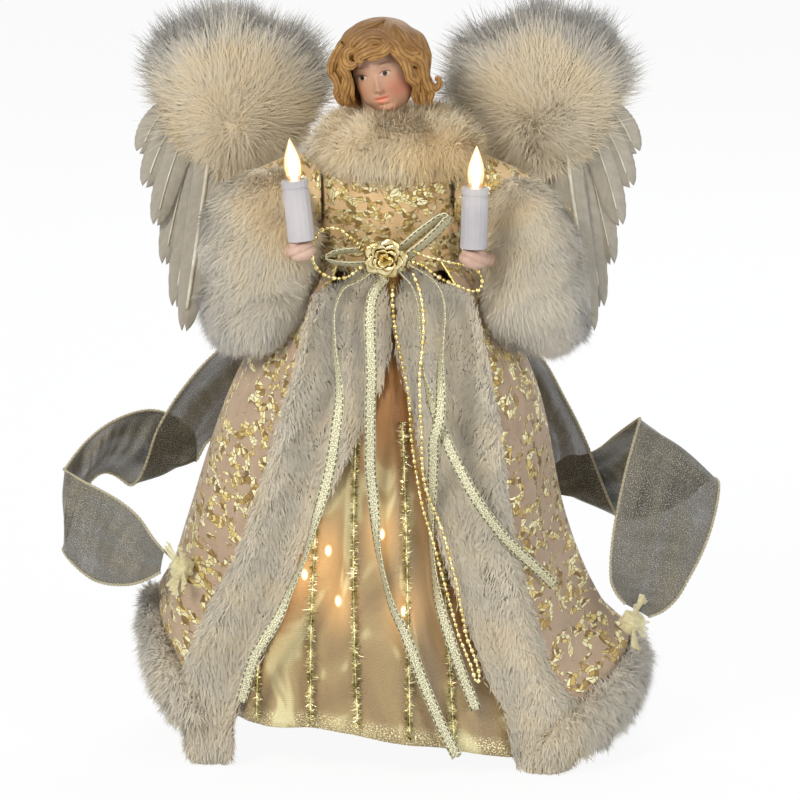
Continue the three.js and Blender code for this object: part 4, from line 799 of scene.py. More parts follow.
def make_coat():
    rows, columns, reach = 70, 300, 1.03
    grid = []
    for i in range(rows + 1):
        down = reach * i / rows
        start, end = along(EDGES["right"], down), 360 + along(EDGES["left"], down)
        angles = [wrapped(between(start, end, j / columns)) for j in range(columns + 1)]
        grid.append([coat_surface(angle, down) for angle in angles])
    grid = np.array(grid)
    coat = cloth_piece("brocade_coat", grid, LOOKS["brocade"], "figure", thickness=0.9, offset=0)
    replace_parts(coat, "coat")
    for name, column in (("left", -1), ("right", 0)):
        make_piping(f"coat_piping_{name}", grid[:, column])


def make_piping(name, route):
    path, _, _ = even_path(route[::6], 1.0)
    out = unit(path * [1, 1, 0])
    piece = round_tube(name, path + out * 0.5, 0.75, 8, LOOKS["piping"], "figure", twist=0.25)


def round_tube(name, path, radius, sides, material, body, twist=0.0, pitch=1.6):
    """Tube along points; twist gives it the ribs of a twisted cord."""
    path = np.asarray(path, float)
    ahead = unit(np.gradient(path, axis=0))
    up = unit(np.cross(ahead, np.where(np.abs(ahead[:, 2:]) > 0.9, [[1.0, 0, 0]], [[0, 0, 1.0]])))
    other = np.cross(ahead, up)
    run = run_along(path)
    turns = turns_round(sides)
    radii = radius * (1 + twist * np.sin(2 * turns[None, :] + run[:, None] * 2 * math.pi / pitch))
    points = (path[:, None] + up[:, None] * (radii * np.cos(turns))[..., None]
              + other[:, None] * (radii * np.sin(turns))[..., None])
    faces, _, _ = grid_faces(len(path), sides, True)
    ends = [np.arange(sides)[None, ::-1], (len(path) - 1) * sides + np.arange(sides)[None]]
    return make_piece(name, points.reshape(-1, 3), [faces, *ends], material, body)


def make_satin():
    rows, columns = 60, 400
    grid = []
    for i in range(rows + 1):
        grid.append([satin_surface(360 * j / columns - 180, i / rows) for j in range(columns)])
    grid = np.array(grid)
    satin = cloth_piece("satin_underskirt", grid, LOOKS["satin"], "figure", closed=True, thickness=0.7)
    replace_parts(satin, "satin_skirt")


# Gold tape, beads and tinsel

TAIL_ROUTES = {
    1: [
        [-6, -29, 205], [-9, -30, 202.5], [-13, -32.5, 200.5], [-17.5, -35, 198.5], [-20, -37, 194.5],
        [-21.5, -40, 189], [-21.5, -43.5, 181.5], [-21, -47, 172.5], [-19.5, -50.5, 161.5], [-19.5, -53, 153],
        [-20.5, -55, 145.5], [-22, -57.5, 135.5], [-24.5, -60, 123], [-29, -62.5, 108], [-34, -64, 91.5],
        [-39.5, -64.5, 79], [-44.5, -65, 67.5], [-49.5, -65, 59.5], [-54, -65, 51.5], [-57, -64.5, 42],
        [-59.5, -64, 33],
    ],
    2: [
        [-1.5, -29, 204], [-2, -31, 200.5], [-4, -34.5, 198.5], [-6, -37.5, 195], [-7, -41, 188.5],
        [-7, -45, 178], [-6.5, -48, 166], [-7, -49, 152.5], [-7, -49, 138], [-7, -49, 125.5], [-6, -49, 116],
        [-5, -50, 105], [-4, -52.5, 94], [-1.5, -56, 82.5], [2, -59.5, 71], [6.5, -62.5, 62],
        [10.5, -64.5, 52], [14, -65, 42], [18.5, -66, 31], [23, -66.5, 20.5], [28, -67, 10.5],
    ],
    3: [
        [3.5, -29, 205], [6.5, -31, 202], [9.5, -34, 199], [12, -37.5, 192.5], [13, -40.5, 183.5],
        [13.5, -43.5, 173.5], [14.5, -46, 165], [16.5, -48.5, 158], [19, -50.5, 150.5], [22, -52.5, 143],
        [26, -55, 134], [30.5, -57, 125], [35.5, -58, 116], [41.5, -57, 107], [47.5, -53.5, 98.5],
        [54.5, -49.5, 90.5], [61.5, -45.5, 83], [68, -41, 75.5],
    ],
    4: [
        [8.5, -29, 206.5], [13, -31, 204.5], [18, -34, 201.5], [21.5, -37, 197], [23, -40.5, 189.5],
        [22.5, -44, 181], [21.5, -47.5, 171.5], [21.5, -51, 161.5], [21.5, -53.5, 153.5], [20.5, -55.5, 146],
        [18.7, -55, 139.5], [18.6, -52.5, 131], [18.2, -49.2, 118.5], [17.5, -48.5, 106], [18, -49.5, 92.5],
        [19.5, -52.5, 79.5], [21.5, -55.5, 69.5], [24.2, -57.5, 61], [27, -59, 52.5], [30.2, -59.3, 43],
        [35.8, -60.3, 28.5],
    ],
}
# Degrees by which each tail is turned about its length, along its length
TAIL_TWISTS = {
    1: [[0, 78], [0.2, 78], [0.42, 0], [0.5, 10], [0.62, 66], [0.72, 66], [0.85, 10], [1, 0]],
    2: [[0, 0], [0.45, 0], [0.56, 56], [0.64, 62], [0.78, 5], [1, 0]],
    3: [[0, 78], [0.3, 78], [0.45, 10], [1, 10]],
    4: [[0, 78], [0.2, 78], [0.35, 18], [0.5, 20], [0.61, 64], [0.7, 64], [0.82, 8], [1, 0]],
}
TAPE = {"width": 4.6, "thickness": 0.5}
# Beads with a small link between each two, on a thread
BEAD = {"diameter": 2.1, "link": 1.4, "string": 1.8, "spacing": 2.15, "thread": 0.28}
BEAD_ROUTES = {
    "left": [
        [-10.6, -32, 213.5], [-12.5, -34.5, 216.5], [-16, -37, 220], [-19.5, -37, 222.5], [-24, -37, 223],
        [-27.5, -37, 221.5], [-29.5, -37, 218.5], [-30.5, -37, 214], [-30, -37.5, 209.5], [-28, -38, 206],
        [-24.5, -38, 203.5], [-20, -37.5, 202.5], [-16, -36, 203], [-11.2, -32.5, 206],
    ],
    "right": [
        [10.5, -34, 208.5], [14.5, -36.5, 207.5], [18.5, -37.5, 204.5], [22.5, -38, 202], [26, -38.5, 200.5],
        [30, -38.5, 199], [33.5, -38, 197.5], [36.3, -37.5, 197.5], [38, -37, 199.5], [38, -36.5, 202.5],
        [36.2, -36, 205.5], [33, -35.5, 207], [27, -33.5, 208], [20, -32.5, 209.5], [14, -31.5, 211],
        [10.8, -31.5, 212.5],
    ],
    "long": [
        [2.2, -30.2, 200], [2, -33, 198.7], [2, -36.5, 197], [2, -38, 192], [3, -38, 182], [6, -38.5, 167],
        [8.5, -39, 154], [9.5, -41, 138], [12, -45, 121], [14.5, -50, 109], [17, -51, 101], [20, -52, 90.5],
        [22.5, -54, 81.5], [24.5, -55.5, 74.5], [26.5, -56.5, 67], [29, -58, 58.5], [31.8, -59.5, 51.5],
        [34.4, -61, 45], [35.4, -61.7, 41.5], [36.4, -62, 40], [37.2, -61.7, 42], [36.6, -61, 46],
        [34.6, -60.2, 52], [32, -59, 58.5], [31, -58.5, 64], [29.4, -57.5, 71.5], [28, -56.5, 79.5],
        [25.5, -55, 89], [23, -53, 98.5], [19.5, -51.5, 108], [16.2, -52, 116], [14, -51.7, 127],
        [13.8, -51.5, 140], [13, -51, 154], [13, -49, 166], [14, -46.5, 176], [14.5, -44, 184],
        [14, -41.5, 192], [12.5, -39.5, 199], [10.5, -37.5, 204],
    ],
}


def tape_strip(name, path, across, width, body, columns=6, fray=0.0, look="tape"):
    """Tape along a path: a shallow curve across its width, rippled edges and a cut end."""
    shares = np.linspace(-0.5, 0.5, columns + 1)
    out = unit(np.cross(across, unit(np.gradient(path, axis=0))))
    out = np.where(out[:, 1:2] > 0, -out, out)
    run = run_along(path)
    edge = 1 + 0.02 * np.sin(run * 4.1)
    grid = (path[:, None] + across[:, None] * (shares[None, :] * width * edge[:, None])[..., None]
            + out[:, None] * (0.25 * (1 - (2 * shares[None, :]) ** 2))[..., None])
    if fray:
        grid[-1] += unit(path[-1] - path[-2]) * (fray * np.abs(np.sin(np.arange(columns + 1) * 2.4)))[:, None]
    faces, corner_rows, corner_columns = grid_faces(len(path), columns + 1)
    cloth = np.stack([corner_columns / columns, run[corner_rows] * 0.01], axis=-1)
    piece = make_piece(name, grid.reshape(-1, 3), [faces], LOOKS[look], body, {"Cloth": cloth})
    thicken(piece, TAPE["thickness"])
    return piece


def make_tails():
    for number, route in TAIL_ROUTES.items():
        path, ahead, length = even_path(route, 0.9)
        across = unit(np.cross(ahead, [0, -1, 0]))
        turn = np.radians([along(TAIL_TWISTS[number], share) for share in np.linspace(0, 1, len(path))])
        across = across * np.cos(turn)[:, None] + np.cross(ahead, across) * np.sin(turn)[:, None]
        tail = tape_strip(f"tape_tail_{number}", path, across, TAPE["width"], "figure", fray=0.8)
        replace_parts(tail, f"ribbon_tail_{number}")


def make_beads():
    sides = 10
    tilts = np.radians([38, 64, 90, 116, 142])
    belts = ball_points(tilts, turns_round(sides)).reshape(-1, 3)
    ball = np.vstack([[0, 0, 1], belts, [0, 0, -1]]) * BEAD["diameter"] / 2
    belt, _, _ = grid_faces(len(tilts), sides, True, 1)
    j = np.arange(sides)
    top = np.stack([np.zeros(sides, int), 1 + j, 1 + (j + 1) % sides], axis=1)
    last = len(ball) - 1
    bottom = np.stack([np.full(sides, last), last - sides + (j + 1) % sides, last - sides + j], axis=1)
    for name, route in BEAD_ROUTES.items():
        path, ahead, length = even_path(route, BEAD["spacing"])
        helper = unit(np.cross(ahead, [0.2, 0.3, 0.9]))
        other = np.cross(ahead, helper)
        sizes = np.where(np.arange(len(path)) % 2, BEAD["link"] / BEAD["diameter"], 1.0)
        balls = ball[None] * sizes[:, None, None]
        points = (path[:, None] + helper[:, None] * balls[..., 0:1] + other[:, None] * balls[..., 1:2]
                  + ahead[:, None] * balls[..., 2:3])
        shifts = np.arange(len(path)) * len(ball)
        groups = [(shifts[:, None, None] + part).reshape(-1, part.shape[1]) for part in (belt, top, bottom)]
        beads = make_piece(f"gold_beads_{name}", points.reshape(-1, 3), groups, LOOKS["bead"], "figure")
        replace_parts(beads, f"bead_loop_{name}")
        thread = round_tube(f"bead_thread_{name}", path, BEAD["thread"], 5, LOOKS["tinsel"], "figure")


# Strands of tinsel: angles at the hem and at the top, and the share of the way down where each starts
TINSEL = [(-38, -45, 0.8), (-22, -33, 0.36), (-8, -17, 0.33), (6, 8, 0.32), (19, 22, 0.55)]


def make_tinsel():
    """Strands of foil spikes bound on a thread down the satin."""
    step = 0.16
    for k, (hem, top, start) in enumerate(TINSEL):
        route = []
        for i in range(24):
            down = between(start, 0.985, i / 23)
            angle = between(top, hem, (down - start) / (1 - start))
            fold = SATIN["fold_depth"] * down * math.cos(math.radians(angle * SATIN["folds"]))
            route.append(satin_point(angle, down, fold + 1.5))
        path, ahead, _ = even_path(route, step)
        maker = np.random.default_rng(40 + k)
        count = len(path) * 3
        at = maker.integers(0, len(path), count)
        reach = maker.uniform(0.9, 2.5, count) * (1 + 0.6 * (maker.random(count) > 0.9))
        reach *= 0.7 + 0.5 * np.sin(at * step * 2.2) ** 2
        turn = maker.uniform(0, 2 * math.pi, count)
        side = unit(np.cross(ahead[at], [0, 1, 0]))
        out = np.cross(side, ahead[at])
        spread = side * np.cos(turn)[:, None] + out * (np.sin(turn) * 0.55)[:, None]
        spread = unit(spread + ahead[at] * maker.normal(0, 0.35, (count, 1)))
        flat = unit(np.cross(spread, maker.normal(size=(count, 3)))) * 0.17
        root = path[at]
        tip = root + spread * reach[:, None]
        middle = root + spread * reach[:, None] * 0.5
        blades = np.stack([root - flat, root + flat, middle + flat, middle - flat, tip], axis=1)
        base = np.arange(count)[:, None] * blades.shape[1]
        faces = [base + [0, 1, 2, 3], base + [3, 2, 4]]
        spikes = make_piece(f"tinsel_strand_{k + 1}", blades.reshape(-1, 3), faces, LOOKS["tinsel"], "figure",
                            smooth=False)
        core = round_tube(f"tinsel_core_{k + 1}", path[::6], 0.45, 6, LOOKS["tinsel"], "figure")
        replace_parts(spikes, f"tinsel_{k + 1}")


# Fur: tufts of tapering strands over a skin that lies under the frame's soft solid

FLOOR_Z = 0.3
# Shares of a strand's length where it bends, from root to tip
SHORT_STEPS = (0, 0.55, 1)
LONG_STEPS = (0, 0.3, 0.6, 0.82, 1)


def scatter(grid, count, maker):
    """Random places over a grid of closed rings, evenly by area, and the outward normals there."""
    ring = np.concatenate([grid, grid[:, :1]], axis=1)
    a, b, c, d = ring[:-1, :-1], ring[:-1, 1:], ring[1:, 1:], ring[1:, :-1]
    cross = np.cross((b - a + c - d) / 2, (d - a + c - b) / 2)
    area = np.linalg.norm(cross, axis=2)
    outward = (a + c) / 2 - (grid[:-1] + grid[1:]).mean(axis=1, keepdims=True) / 2
    if (cross * outward).sum() < 0:
        cross = -cross
    cell = maker.choice(area.size, count, p=(area / area.sum()).ravel())
    i, j = np.unravel_index(cell, area.shape)
    s, t = maker.random((2, count, 1))
    top, bottom = between(a[i, j], b[i, j], s), between(d[i, j], c[i, j], s)
    return between(top, bottom, t), unit(cross[i, j])


def strand_blades(roots, normals, ahead, bend, lengths, width, shade, steps):
    """Points, groups of faces with their maps, and normals of narrow blades that bend over their length."""
    count, rows = len(roots), len(steps) - 1
    t = np.array(steps)[None, :, None]
    spine = roots[:, None] + lengths[:, None, None] * (t * ahead[:, None] + t * t * bend[:, None])
    spine[..., 2] = np.maximum(spine[..., 2], FLOOR_Z)
    side = unit(np.cross(ahead + 0.5 * bend, normals))
    narrow = 0.5 * np.sqrt(1 - 0.75 * t[:, :-1] ** 2) * width[:, None, None]
    left, right = spine[:, :-1] - side[:, None] * narrow, spine[:, :-1] + side[:, None] * narrow
    pairs = np.stack([left, right], axis=2).reshape(count, -1, 3)
    points = np.concatenate([pairs, spine[:, -1:]], axis=1)
    own = 2 * rows + 1
    base = np.arange(count)[:, None] * own
    v = np.array(steps) * 0.92 + 0.05
    u = np.stack([shade - 0.012, shade + 0.012], axis=1)
    quads, quad_maps = [], []
    for k in range(rows - 1):
        quads.append(base + 2 * k + np.array([0, 1, 3, 2]))
        levels = np.tile([v[k], v[k], v[k + 1], v[k + 1]], (count, 1))
        quad_maps.append(np.stack([u[:, [0, 1, 1, 0]], levels], axis=-1))
    tips = base + 2 * (rows - 1) + np.array([0, 1, 2])
    levels = np.tile([v[-2], v[-2], v[-1]], (count, 1))
    tip_map = np.stack([np.stack([u[:, 0], u[:, 1], shade], axis=1), levels], axis=-1)
    flat = np.cross(side, unit(ahead + 0.5 * bend))
    flat = np.where((flat * normals).sum(axis=1, keepdims=True) < 0, -flat, flat)
    shown = np.repeat(unit(normals + 0.45 * flat), own, axis=0)
    return (points.reshape(-1, 3), [(np.concatenate(quads), np.concatenate(quad_maps).reshape(-1, 2)),
                                    (tips, tip_map.reshape(-1, 2))], shown)


def grow(grid, look):
    """One coat of strands over closed rings of points, in tufts that share a direction."""
    maker = np.random.default_rng(look["seed"])
    tufts, strands = look["tufts"], look["strands"]
    middles, out = scatter(grid, tufts, maker)
    if "where" in look:
        kept = maker.random(tufts) < look["where"](middles)
        middles, out = middles[kept], out[kept]
        tufts = len(middles)
    comb = look["comb"](middles)
    comb = comb - out * (comb * out).sum(axis=1, keepdims=True)
    swirl = np.stack([wave(middles, look["curl_size"], look["seed"] + k) for k in range(3)], axis=1)
    lean = unit(out * look["rise"] + comb + swirl * look["curl"] + maker.normal(0, 0.1, (tufts, 3)))
    uneven = 1 + 0.15 * wave(middles, 14, look["seed"] + 7)
    reach = look["length"] * uneven * maker.uniform(0.8, 1.15, tufts)
    own = np.repeat(np.arange(tufts), strands)
    count = len(own)
    spread = maker.normal(0, look["spread"], (count, 3))
    spread -= out[own] * (spread * out[own]).sum(axis=1, keepdims=True)
    roots = middles[own] + spread - out[own] * 0.8
    ahead = unit(lean[own] + spread * look["fan"] + maker.normal(0, look["stray"], (count, 3)))
    bend = comb[own] * look["bend"] + [0, 0, -look["droop"]] + maker.normal(0, look["stray"], (count, 3))
    lengths = reach[own] * maker.uniform(0.6, 1.1, count)
    width = look["width"] * maker.uniform(0.7, 1.3, count)
    tint = look["tint"](middles)[own] + maker.normal(0, look["mottle"], count)
    shade = np.clip(tint + look["patches"] * wave(middles, 9, look["seed"] + 11)[own], 0.02, 0.98)
    return strand_blades(roots, out[own], ahead, bend, lengths, width, shade, look["steps"])


def make_fur(name, node, grid, body, *coats):
    """Coats of fur over the skin that closed rings of points form."""
    points, faces, maps, normals, first = [], [], [], [], 0
    for coat in coats:
        own_points, groups, own_normals = grow(grid, coat)
        for group, group_map in groups:
            faces.append(group + first)
            maps.append(group_map)
        points.append(own_points)
        normals.append(own_normals)
        first += len(own_points)
    rows, columns = grid.shape[:2]
    skin, _, _ = grid_faces(rows, columns, True, first)
    corners = grid.reshape(-1, 3)[skin - first]
    facing = np.cross(corners[:, 1] - corners[:, 0], corners[:, 2] - corners[:, 0])
    middles = np.repeat(grid[:-1].mean(axis=1), columns, axis=0)
    if (facing * (corners[:, 0] - middles)).sum() < 0:
        skin = skin[:, ::-1]
    tones = np.clip(coats[0]["tint"](grid.reshape(-1, 3)), 0.03, 0.95)[skin[:, 0] - first]
    corner = np.array([[0, 0], [0.02, 0], [0.02, 0.02], [0, 0.02]])
    maps.append((np.stack([tones, np.full(len(tones), 0.1)], axis=1)[:, None] + corner).reshape(-1, 2))
    points.append(grid.reshape(-1, 3))
    normals.append(unit(grid - grid.mean(axis=1, keepdims=True)).reshape(-1, 3))
    shades = {"OFBake": np.vstack(maps)}
    piece = make_piece(name, np.vstack(points), [*faces, skin], LOOKS["fur"], body, shades)
    piece.data.normals_split_custom_set_from_vertices(np.vstack(normals).tolist())
    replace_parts(piece, node)
    return piece


def oval_ring(middle, first, second, half_first, half_second, columns):
    """Closed ring of points about a middle, in the plane of two directions."""
    turns = turns_round(columns)
    return (np.asarray(middle) + np.outer(half_first * np.cos(turns), first)
            + np.outer(half_second * np.sin(turns), second))


def puff_end(share):
    """Size of a puffy strip along its length, round at both ends."""
    near = min(share, 1 - share) / 0.07
    return math.sqrt(max(0.0, 1 - (1 - min(near, 1)) ** 2)) * 0.94 + 0.06


# Each coat of fur: how many tufts and strands in a tuft, sizes in millimetres, and shares for the rest
FUR_LOOK = {
    "tufts": 14500, "strands": 4, "rise": 0.5, "curl": 0.22, "curl_size": 9, "length": 4.6, "spread": 0.9,
    "fan": -0.08, "stray": 0.13, "droop": 0.12, "bend": 0.25, "width": 0.27, "mottle": 0.035, "patches": 0.04,
    "steps": SHORT_STEPS,
}
# Places of the light from the two candles
CANDLE_LIGHTS = ((-37, -45, 250), (33, -45, 247), (-36, -42, 232), (33, -42, 228))


def down_comb(points):
    return np.tile([0.0, 0.0, -0.55], (len(points), 1))


def candle_warmth(points, size=22):
    """Warm light that the two candles lay on nearby fur."""
    warm = np.zeros(len(points))
    for place in CANDLE_LIGHTS:
        warm += 0.7 * np.exp(-(np.linalg.norm(points - place, axis=1) / size) ** 2)
    return np.clip(warm, 0, 1)


def make_fur_hem():
    rows, columns, beyond = 220, 20, 3
    start, end = along(EDGES["right"], 1) - beyond, 360 + along(EDGES["left"], 1) + beyond
    grid = []
    for i in range(rows + 1):
        share = i / rows
        angle = wrapped(between(start, end, share))
        middle = coat_point(angle, 1, FUR_HEM["stand_off"])
        middle[2] = hem_middle(angle)
        normal = oval_normal(angle, *coat_size(angle, 1))
        size = puff_end(share)
        lump = 1 + 0.07 * math.sin(share * 90) * math.sin(share * 37)
        grid.append(oval_ring(middle, normal, [0, 0, 1], 5.6 * size * lump, 11.6 * size * lump, columns))
    grid = np.array(grid)
    grid[..., 2] = np.maximum(grid[..., 2], 1)

    # Greyer towards the hem's far sides: painted shade along the fur's outline
    def tint(points):
        return 0.5 + 0.2 * np.clip((np.abs(points[:, 0]) - 78) / 30, 0, 1) + 0.04 * wave(points, 16, 5)

    fur = {**FUR_LOOK, "seed": 101, "tufts": 15500, "comb": down_comb, "length": 5.4, "width": 0.36,
           "spread": 1.1, "rise": 0.6, "tint": tint}
    make_fur("fur_hem_band", "fur_hem", grid, "figure", fur)


# Half widths of a front band of fur and how far its middle lies inside the coat's edge, from the waist down
BAND_WIDTHS = {
    "left": [
        [0, 16], [0.05, 19], [0.15, 21.5], [0.27, 19.5], [0.4, 15.5], [0.55, 13], [0.7, 15.5], [1, 12.5],
    ],
    "right": [[0, 15], [0.05, 18], [0.15, 20], [0.27, 19], [0.4, 17.5], [0.55, 17], [0.7, 16], [1, 15]],
}
BAND_INSETS = {
    "left": [[0, 11], [0.05, 12.5], [0.15, 13.5], [0.27, 11.5], [0.4, 6.5], [0.55, 2.5], [0.7, 2], [1, 3]],
    "right": [[0, 11.5], [0.05, 12.5], [0.15, 14.5], [0.27, 12.5], [0.4, 9], [0.55, 6], [0.7, 3.5], [1, -2]],
}
BAND = {"top_z": 203, "bottom_z": -0.5, "half_thickness": 2.4, "over_satin": 3.4}


def satin_oval(z):
    """Half width and depth of the satin at a height."""
    share = along(SATIN_SHARES, min(1, (SATIN["waist_z"] - z) / (SATIN["waist_z"] - SATIN["highest_z"])))
    return np.array([SATIN["half_width"], SATIN["depth"]]) * share


def make_fur_band(name):
    side, edges = SIDES[name], EDGES[name]
    hem_z = coat_hem(along(edges, 1))
    rows, columns = 150, 24
    grid = []
    for i in range(rows + 1):
        share = i / rows
        z = between(BAND["top_z"], BAND["bottom_z"], share)
        down = max(0, (COAT["waist_z"] - z) / (COAT["waist_z"] - hem_z))
        edge = along(edges, down)
        size = coat_size(edge, down)
        turn = math.radians(edge)
        degree = math.radians(math.hypot(size[0] * math.cos(turn), size[1] * math.sin(turn)))
        angle = edge - side * along(BAND_INSETS[name], share) / degree
        middle = coat_point(angle, down, 1.5)
        middle[2] = z
        normal = oval_normal(angle, *coat_size(angle, down))
        across = np.array([-normal[1], normal[0], 0])
        grown = puff_end(share)
        half_width = (along(BAND_WIDTHS[name], share) - 3) * grown
        ring = oval_ring(middle, normal, across, BAND["half_thickness"] * grown, half_width, columns)
        under = satin_oval(z)
        reach = np.linalg.norm(ring[:, :2] / under, axis=1)
        turned = np.abs(np.degrees(np.arctan2(ring[:, 0] / size[0], -ring[:, 1] / size[1])))
        open_part = smoothstep(0, 5, abs(edge) - turned)
        beyond = np.clip(1 - (1 + BAND["over_satin"] / under[1]) / reach, 0, 1)
        ring[:, :2] *= (1 - open_part * beyond)[:, None]
        grid.append(ring)
    grid = np.array(grid)
    grid[..., 2] = np.maximum(grid[..., 2], 1)

    # Greyer higher up towards the waist: painted shade there
    def tint(points):
        return 0.52 + 0.05 * wave(points, 14, 8) + 0.07 * np.clip((points[:, 2] - 120) / 80, 0, 1)

    fur = {**FUR_LOOK, "seed": 110 + side, "comb": down_comb, "length": 4.3, "rise": 0.4, "width": 0.38,
           "curl": 0.1, "stray": 0.08, "tint": tint}
    make_fur(f"fur_front_band_{name}", f"fur_front_{name}", grid, "figure", fur)


COLLAR = {"inner": 12.5, "outer": 36, "low": 242, "high": 267.5, "x": 4, "depth_share": 0.8, "seed": 120}
# Section of the collar's ring: shares of the way out and of the way up
COLLAR_SECTION = [
    [0, 0.3], [0.6, 0.1], [0.8, 0], [0.95, 0.1], [1, 0.35], [0.8, 0.68], [0.45, 0.92], [0.2, 1], [0, 0.85],
]


def make_collar():
    out, up = np.array(COLLAR_SECTION).T
    section = np.column_stack([between(COLLAR["inner"], COLLAR["outer"], out),
                               between(COLLAR["low"], COLLAR["high"], up), 0 * up])
    centre = section[:, :2].mean(axis=0)
    rounded, _ = smooth_path(np.vstack([section, section[0]]), 24)
    inner = (rounded[:-1, :2] - centre) * 0.76 + centre
    grid = []
    for turn in np.linspace(0, 2 * math.pi, 97):
        lump = 1 + 0.03 * math.sin(7 * turn)
        radius, z = inner[:, 0] * lump, inner[:, 1]
        y = -radius * np.cos(turn) * COLLAR["depth_share"]
        grid.append(np.column_stack([radius * np.sin(turn) + COLLAR["x"], y, z]))
    grid = np.array(grid)

    def comb(points):
        outward = unit((points - [COLLAR["x"], 0, 0]) * [1, 1, 0])
        parting = points[:, 2] + 5 * wave(points, 7, 121)
        front = np.exp(-((points[:, 0] - 3) / 15) ** 2) * (points[:, 1] < 0)
        upward = between(-0.75, 0.85 - 0.5 * front, smoothstep(248, 266, parting))
        return outward * 0.45 + upward[:, None] * [0, 0, 1]

    # Warmer at the lower right and near the candles: painted candle light. Greyer towards the far sides:
    # painted shade along the outline
    def tint(points):
        right = smoothstep(0, 26, points[:, 0]) * smoothstep(266, 246, points[:, 2])
        far = np.clip((np.abs(points[:, 0] - COLLAR["x"]) - 24) / 12, 0, 1)
        return 0.36 - 0.22 * right - 0.08 * candle_warmth(points) + 0.12 * far * (1 - right)

    fur = {**FUR_LOOK, "seed": COLLAR["seed"], "tufts": 13500, "comb": comb, "length": 6.2, "rise": 0.5,
           "curl": 0.3, "curl_size": 12, "droop": 0.05, "width": 0.27, "stray": 0.2, "tint": tint}
    make_fur("fur_collar", "collar_fur", grid, "figure", fur)


CUFF_X = {"left": 54, "right": 60}
CUFF = {"top": (-5.8, -13.2, 239), "bottom": (2.6, -19, 169.5), "half_width": 24, "half_depth": 21}
# Shares of the way down a cuff, of its half width and of its half depth
CUFF_SHARES = [
    [0, 0.3, 0.28], [0.1, 0.66, 0.66], [0.3, 0.87, 0.9], [0.55, 0.98, 1], [0.76, 1, 0.98], [0.92, 0.76, 0.76],
    [1, 0.4, 0.4],
]


def by_share(table, k):
    """Pairs of a table's shares, its first column, and another column."""
    return [[row[0], row[k]] for row in table]


def make_cuff(name):
    side, x = SIDES[name], CUFF_X[name]
    widths, depths = by_share(CUFF_SHARES, 1), by_share(CUFF_SHARES, 2)
    rows, columns = 41, 40
    grid = []
    for down in np.linspace(0, 1, rows):
        out, y, z = between(np.array(CUFF["top"]), np.array(CUFF["bottom"]), down)
        middle = [side * (x + out), y, z]
        covers = 0.3 * smoothstep(0.6, 0.3, down) if side < 0 else 0
        middle[0] += side * 8 * covers
        middle[2] += 16 * covers * (1 - down) ** 2
        half_width = max(CUFF["half_width"] * along(widths, down) - 3.4, 1.5) * (1 + covers)
        half_depth = max(CUFF["half_depth"] * along(depths, down) - 4.5, 1.5)
        grid.append(oval_ring(middle, [1, 0, 0], [0, 1, 0], half_width, half_depth, columns))
    grid = np.array(grid)
    lumps = wave(grid.reshape(-1, 3), 16, 30 + side).reshape(rows, columns, 1)
    grid += unit(grid - grid.mean(axis=1, keepdims=True)) * 1.2 * lumps
    inner_x = side * (x - 12)

    def comb(points):
        sideways = 0.35 * np.tanh((points[:, 0] - inner_x) / 8)
        return np.column_stack([sideways, np.full(len(points), -0.1), np.full(len(points), -0.6)])

    # Warm painted candle light near the candles. Greyer on the outer side and low down: painted shade along
    # the outline and underneath
    def tint(points):
        outer = np.clip((np.abs(points[:, 0]) - x - 4) / 18, 0, 1)
        low = smoothstep(200, 175, points[:, 2])
        return 0.57 - 0.42 * candle_warmth(points, 26) + 0.16 * outer + 0.08 * low

    fur = {**FUR_LOOK, "seed": 130 + side, "tufts": 14000, "comb": comb, "length": 5.8, "curl": 0.35,
           "curl_size": 14, "tint": tint}
    make_fur(f"fur_cuff_{name}", f"cuff_fur_{name}", grid, f"arm_{name}", fur)


# Wings: marabou fluff over a card with hanging quill feathers

WING = {"x": 64, "y": 33, "z": 267, "half_width": 40, "half_height": 37, "half_depth": 12.5}
# Shares of the way up the fluff: how far out its middle lies, its half width and its half depth
FLUFF_SHARES = [
    [-1, 0.06, 0.22, 0.3], [-0.8, 0.05, 0.52, 0.6], [-0.45, 0, 0.8, 0.85], [-0.05, -0.04, 0.98, 1],
    [0.35, 0, 1, 1], [0.68, 0.05, 0.84, 0.85], [0.9, 0.06, 0.54, 0.55], [1, 0.06, 0.24, 0.25],
]
# Places of the feathers' tips, and the one whose quill shows
FEATHER_TIPS = [
    [73, 238], [76, 214], [81, 190], [86, 171], [90, 181], [94, 199], [97, 216], [101, 232], [103, 246],
]
LONGEST_FEATHER = 3


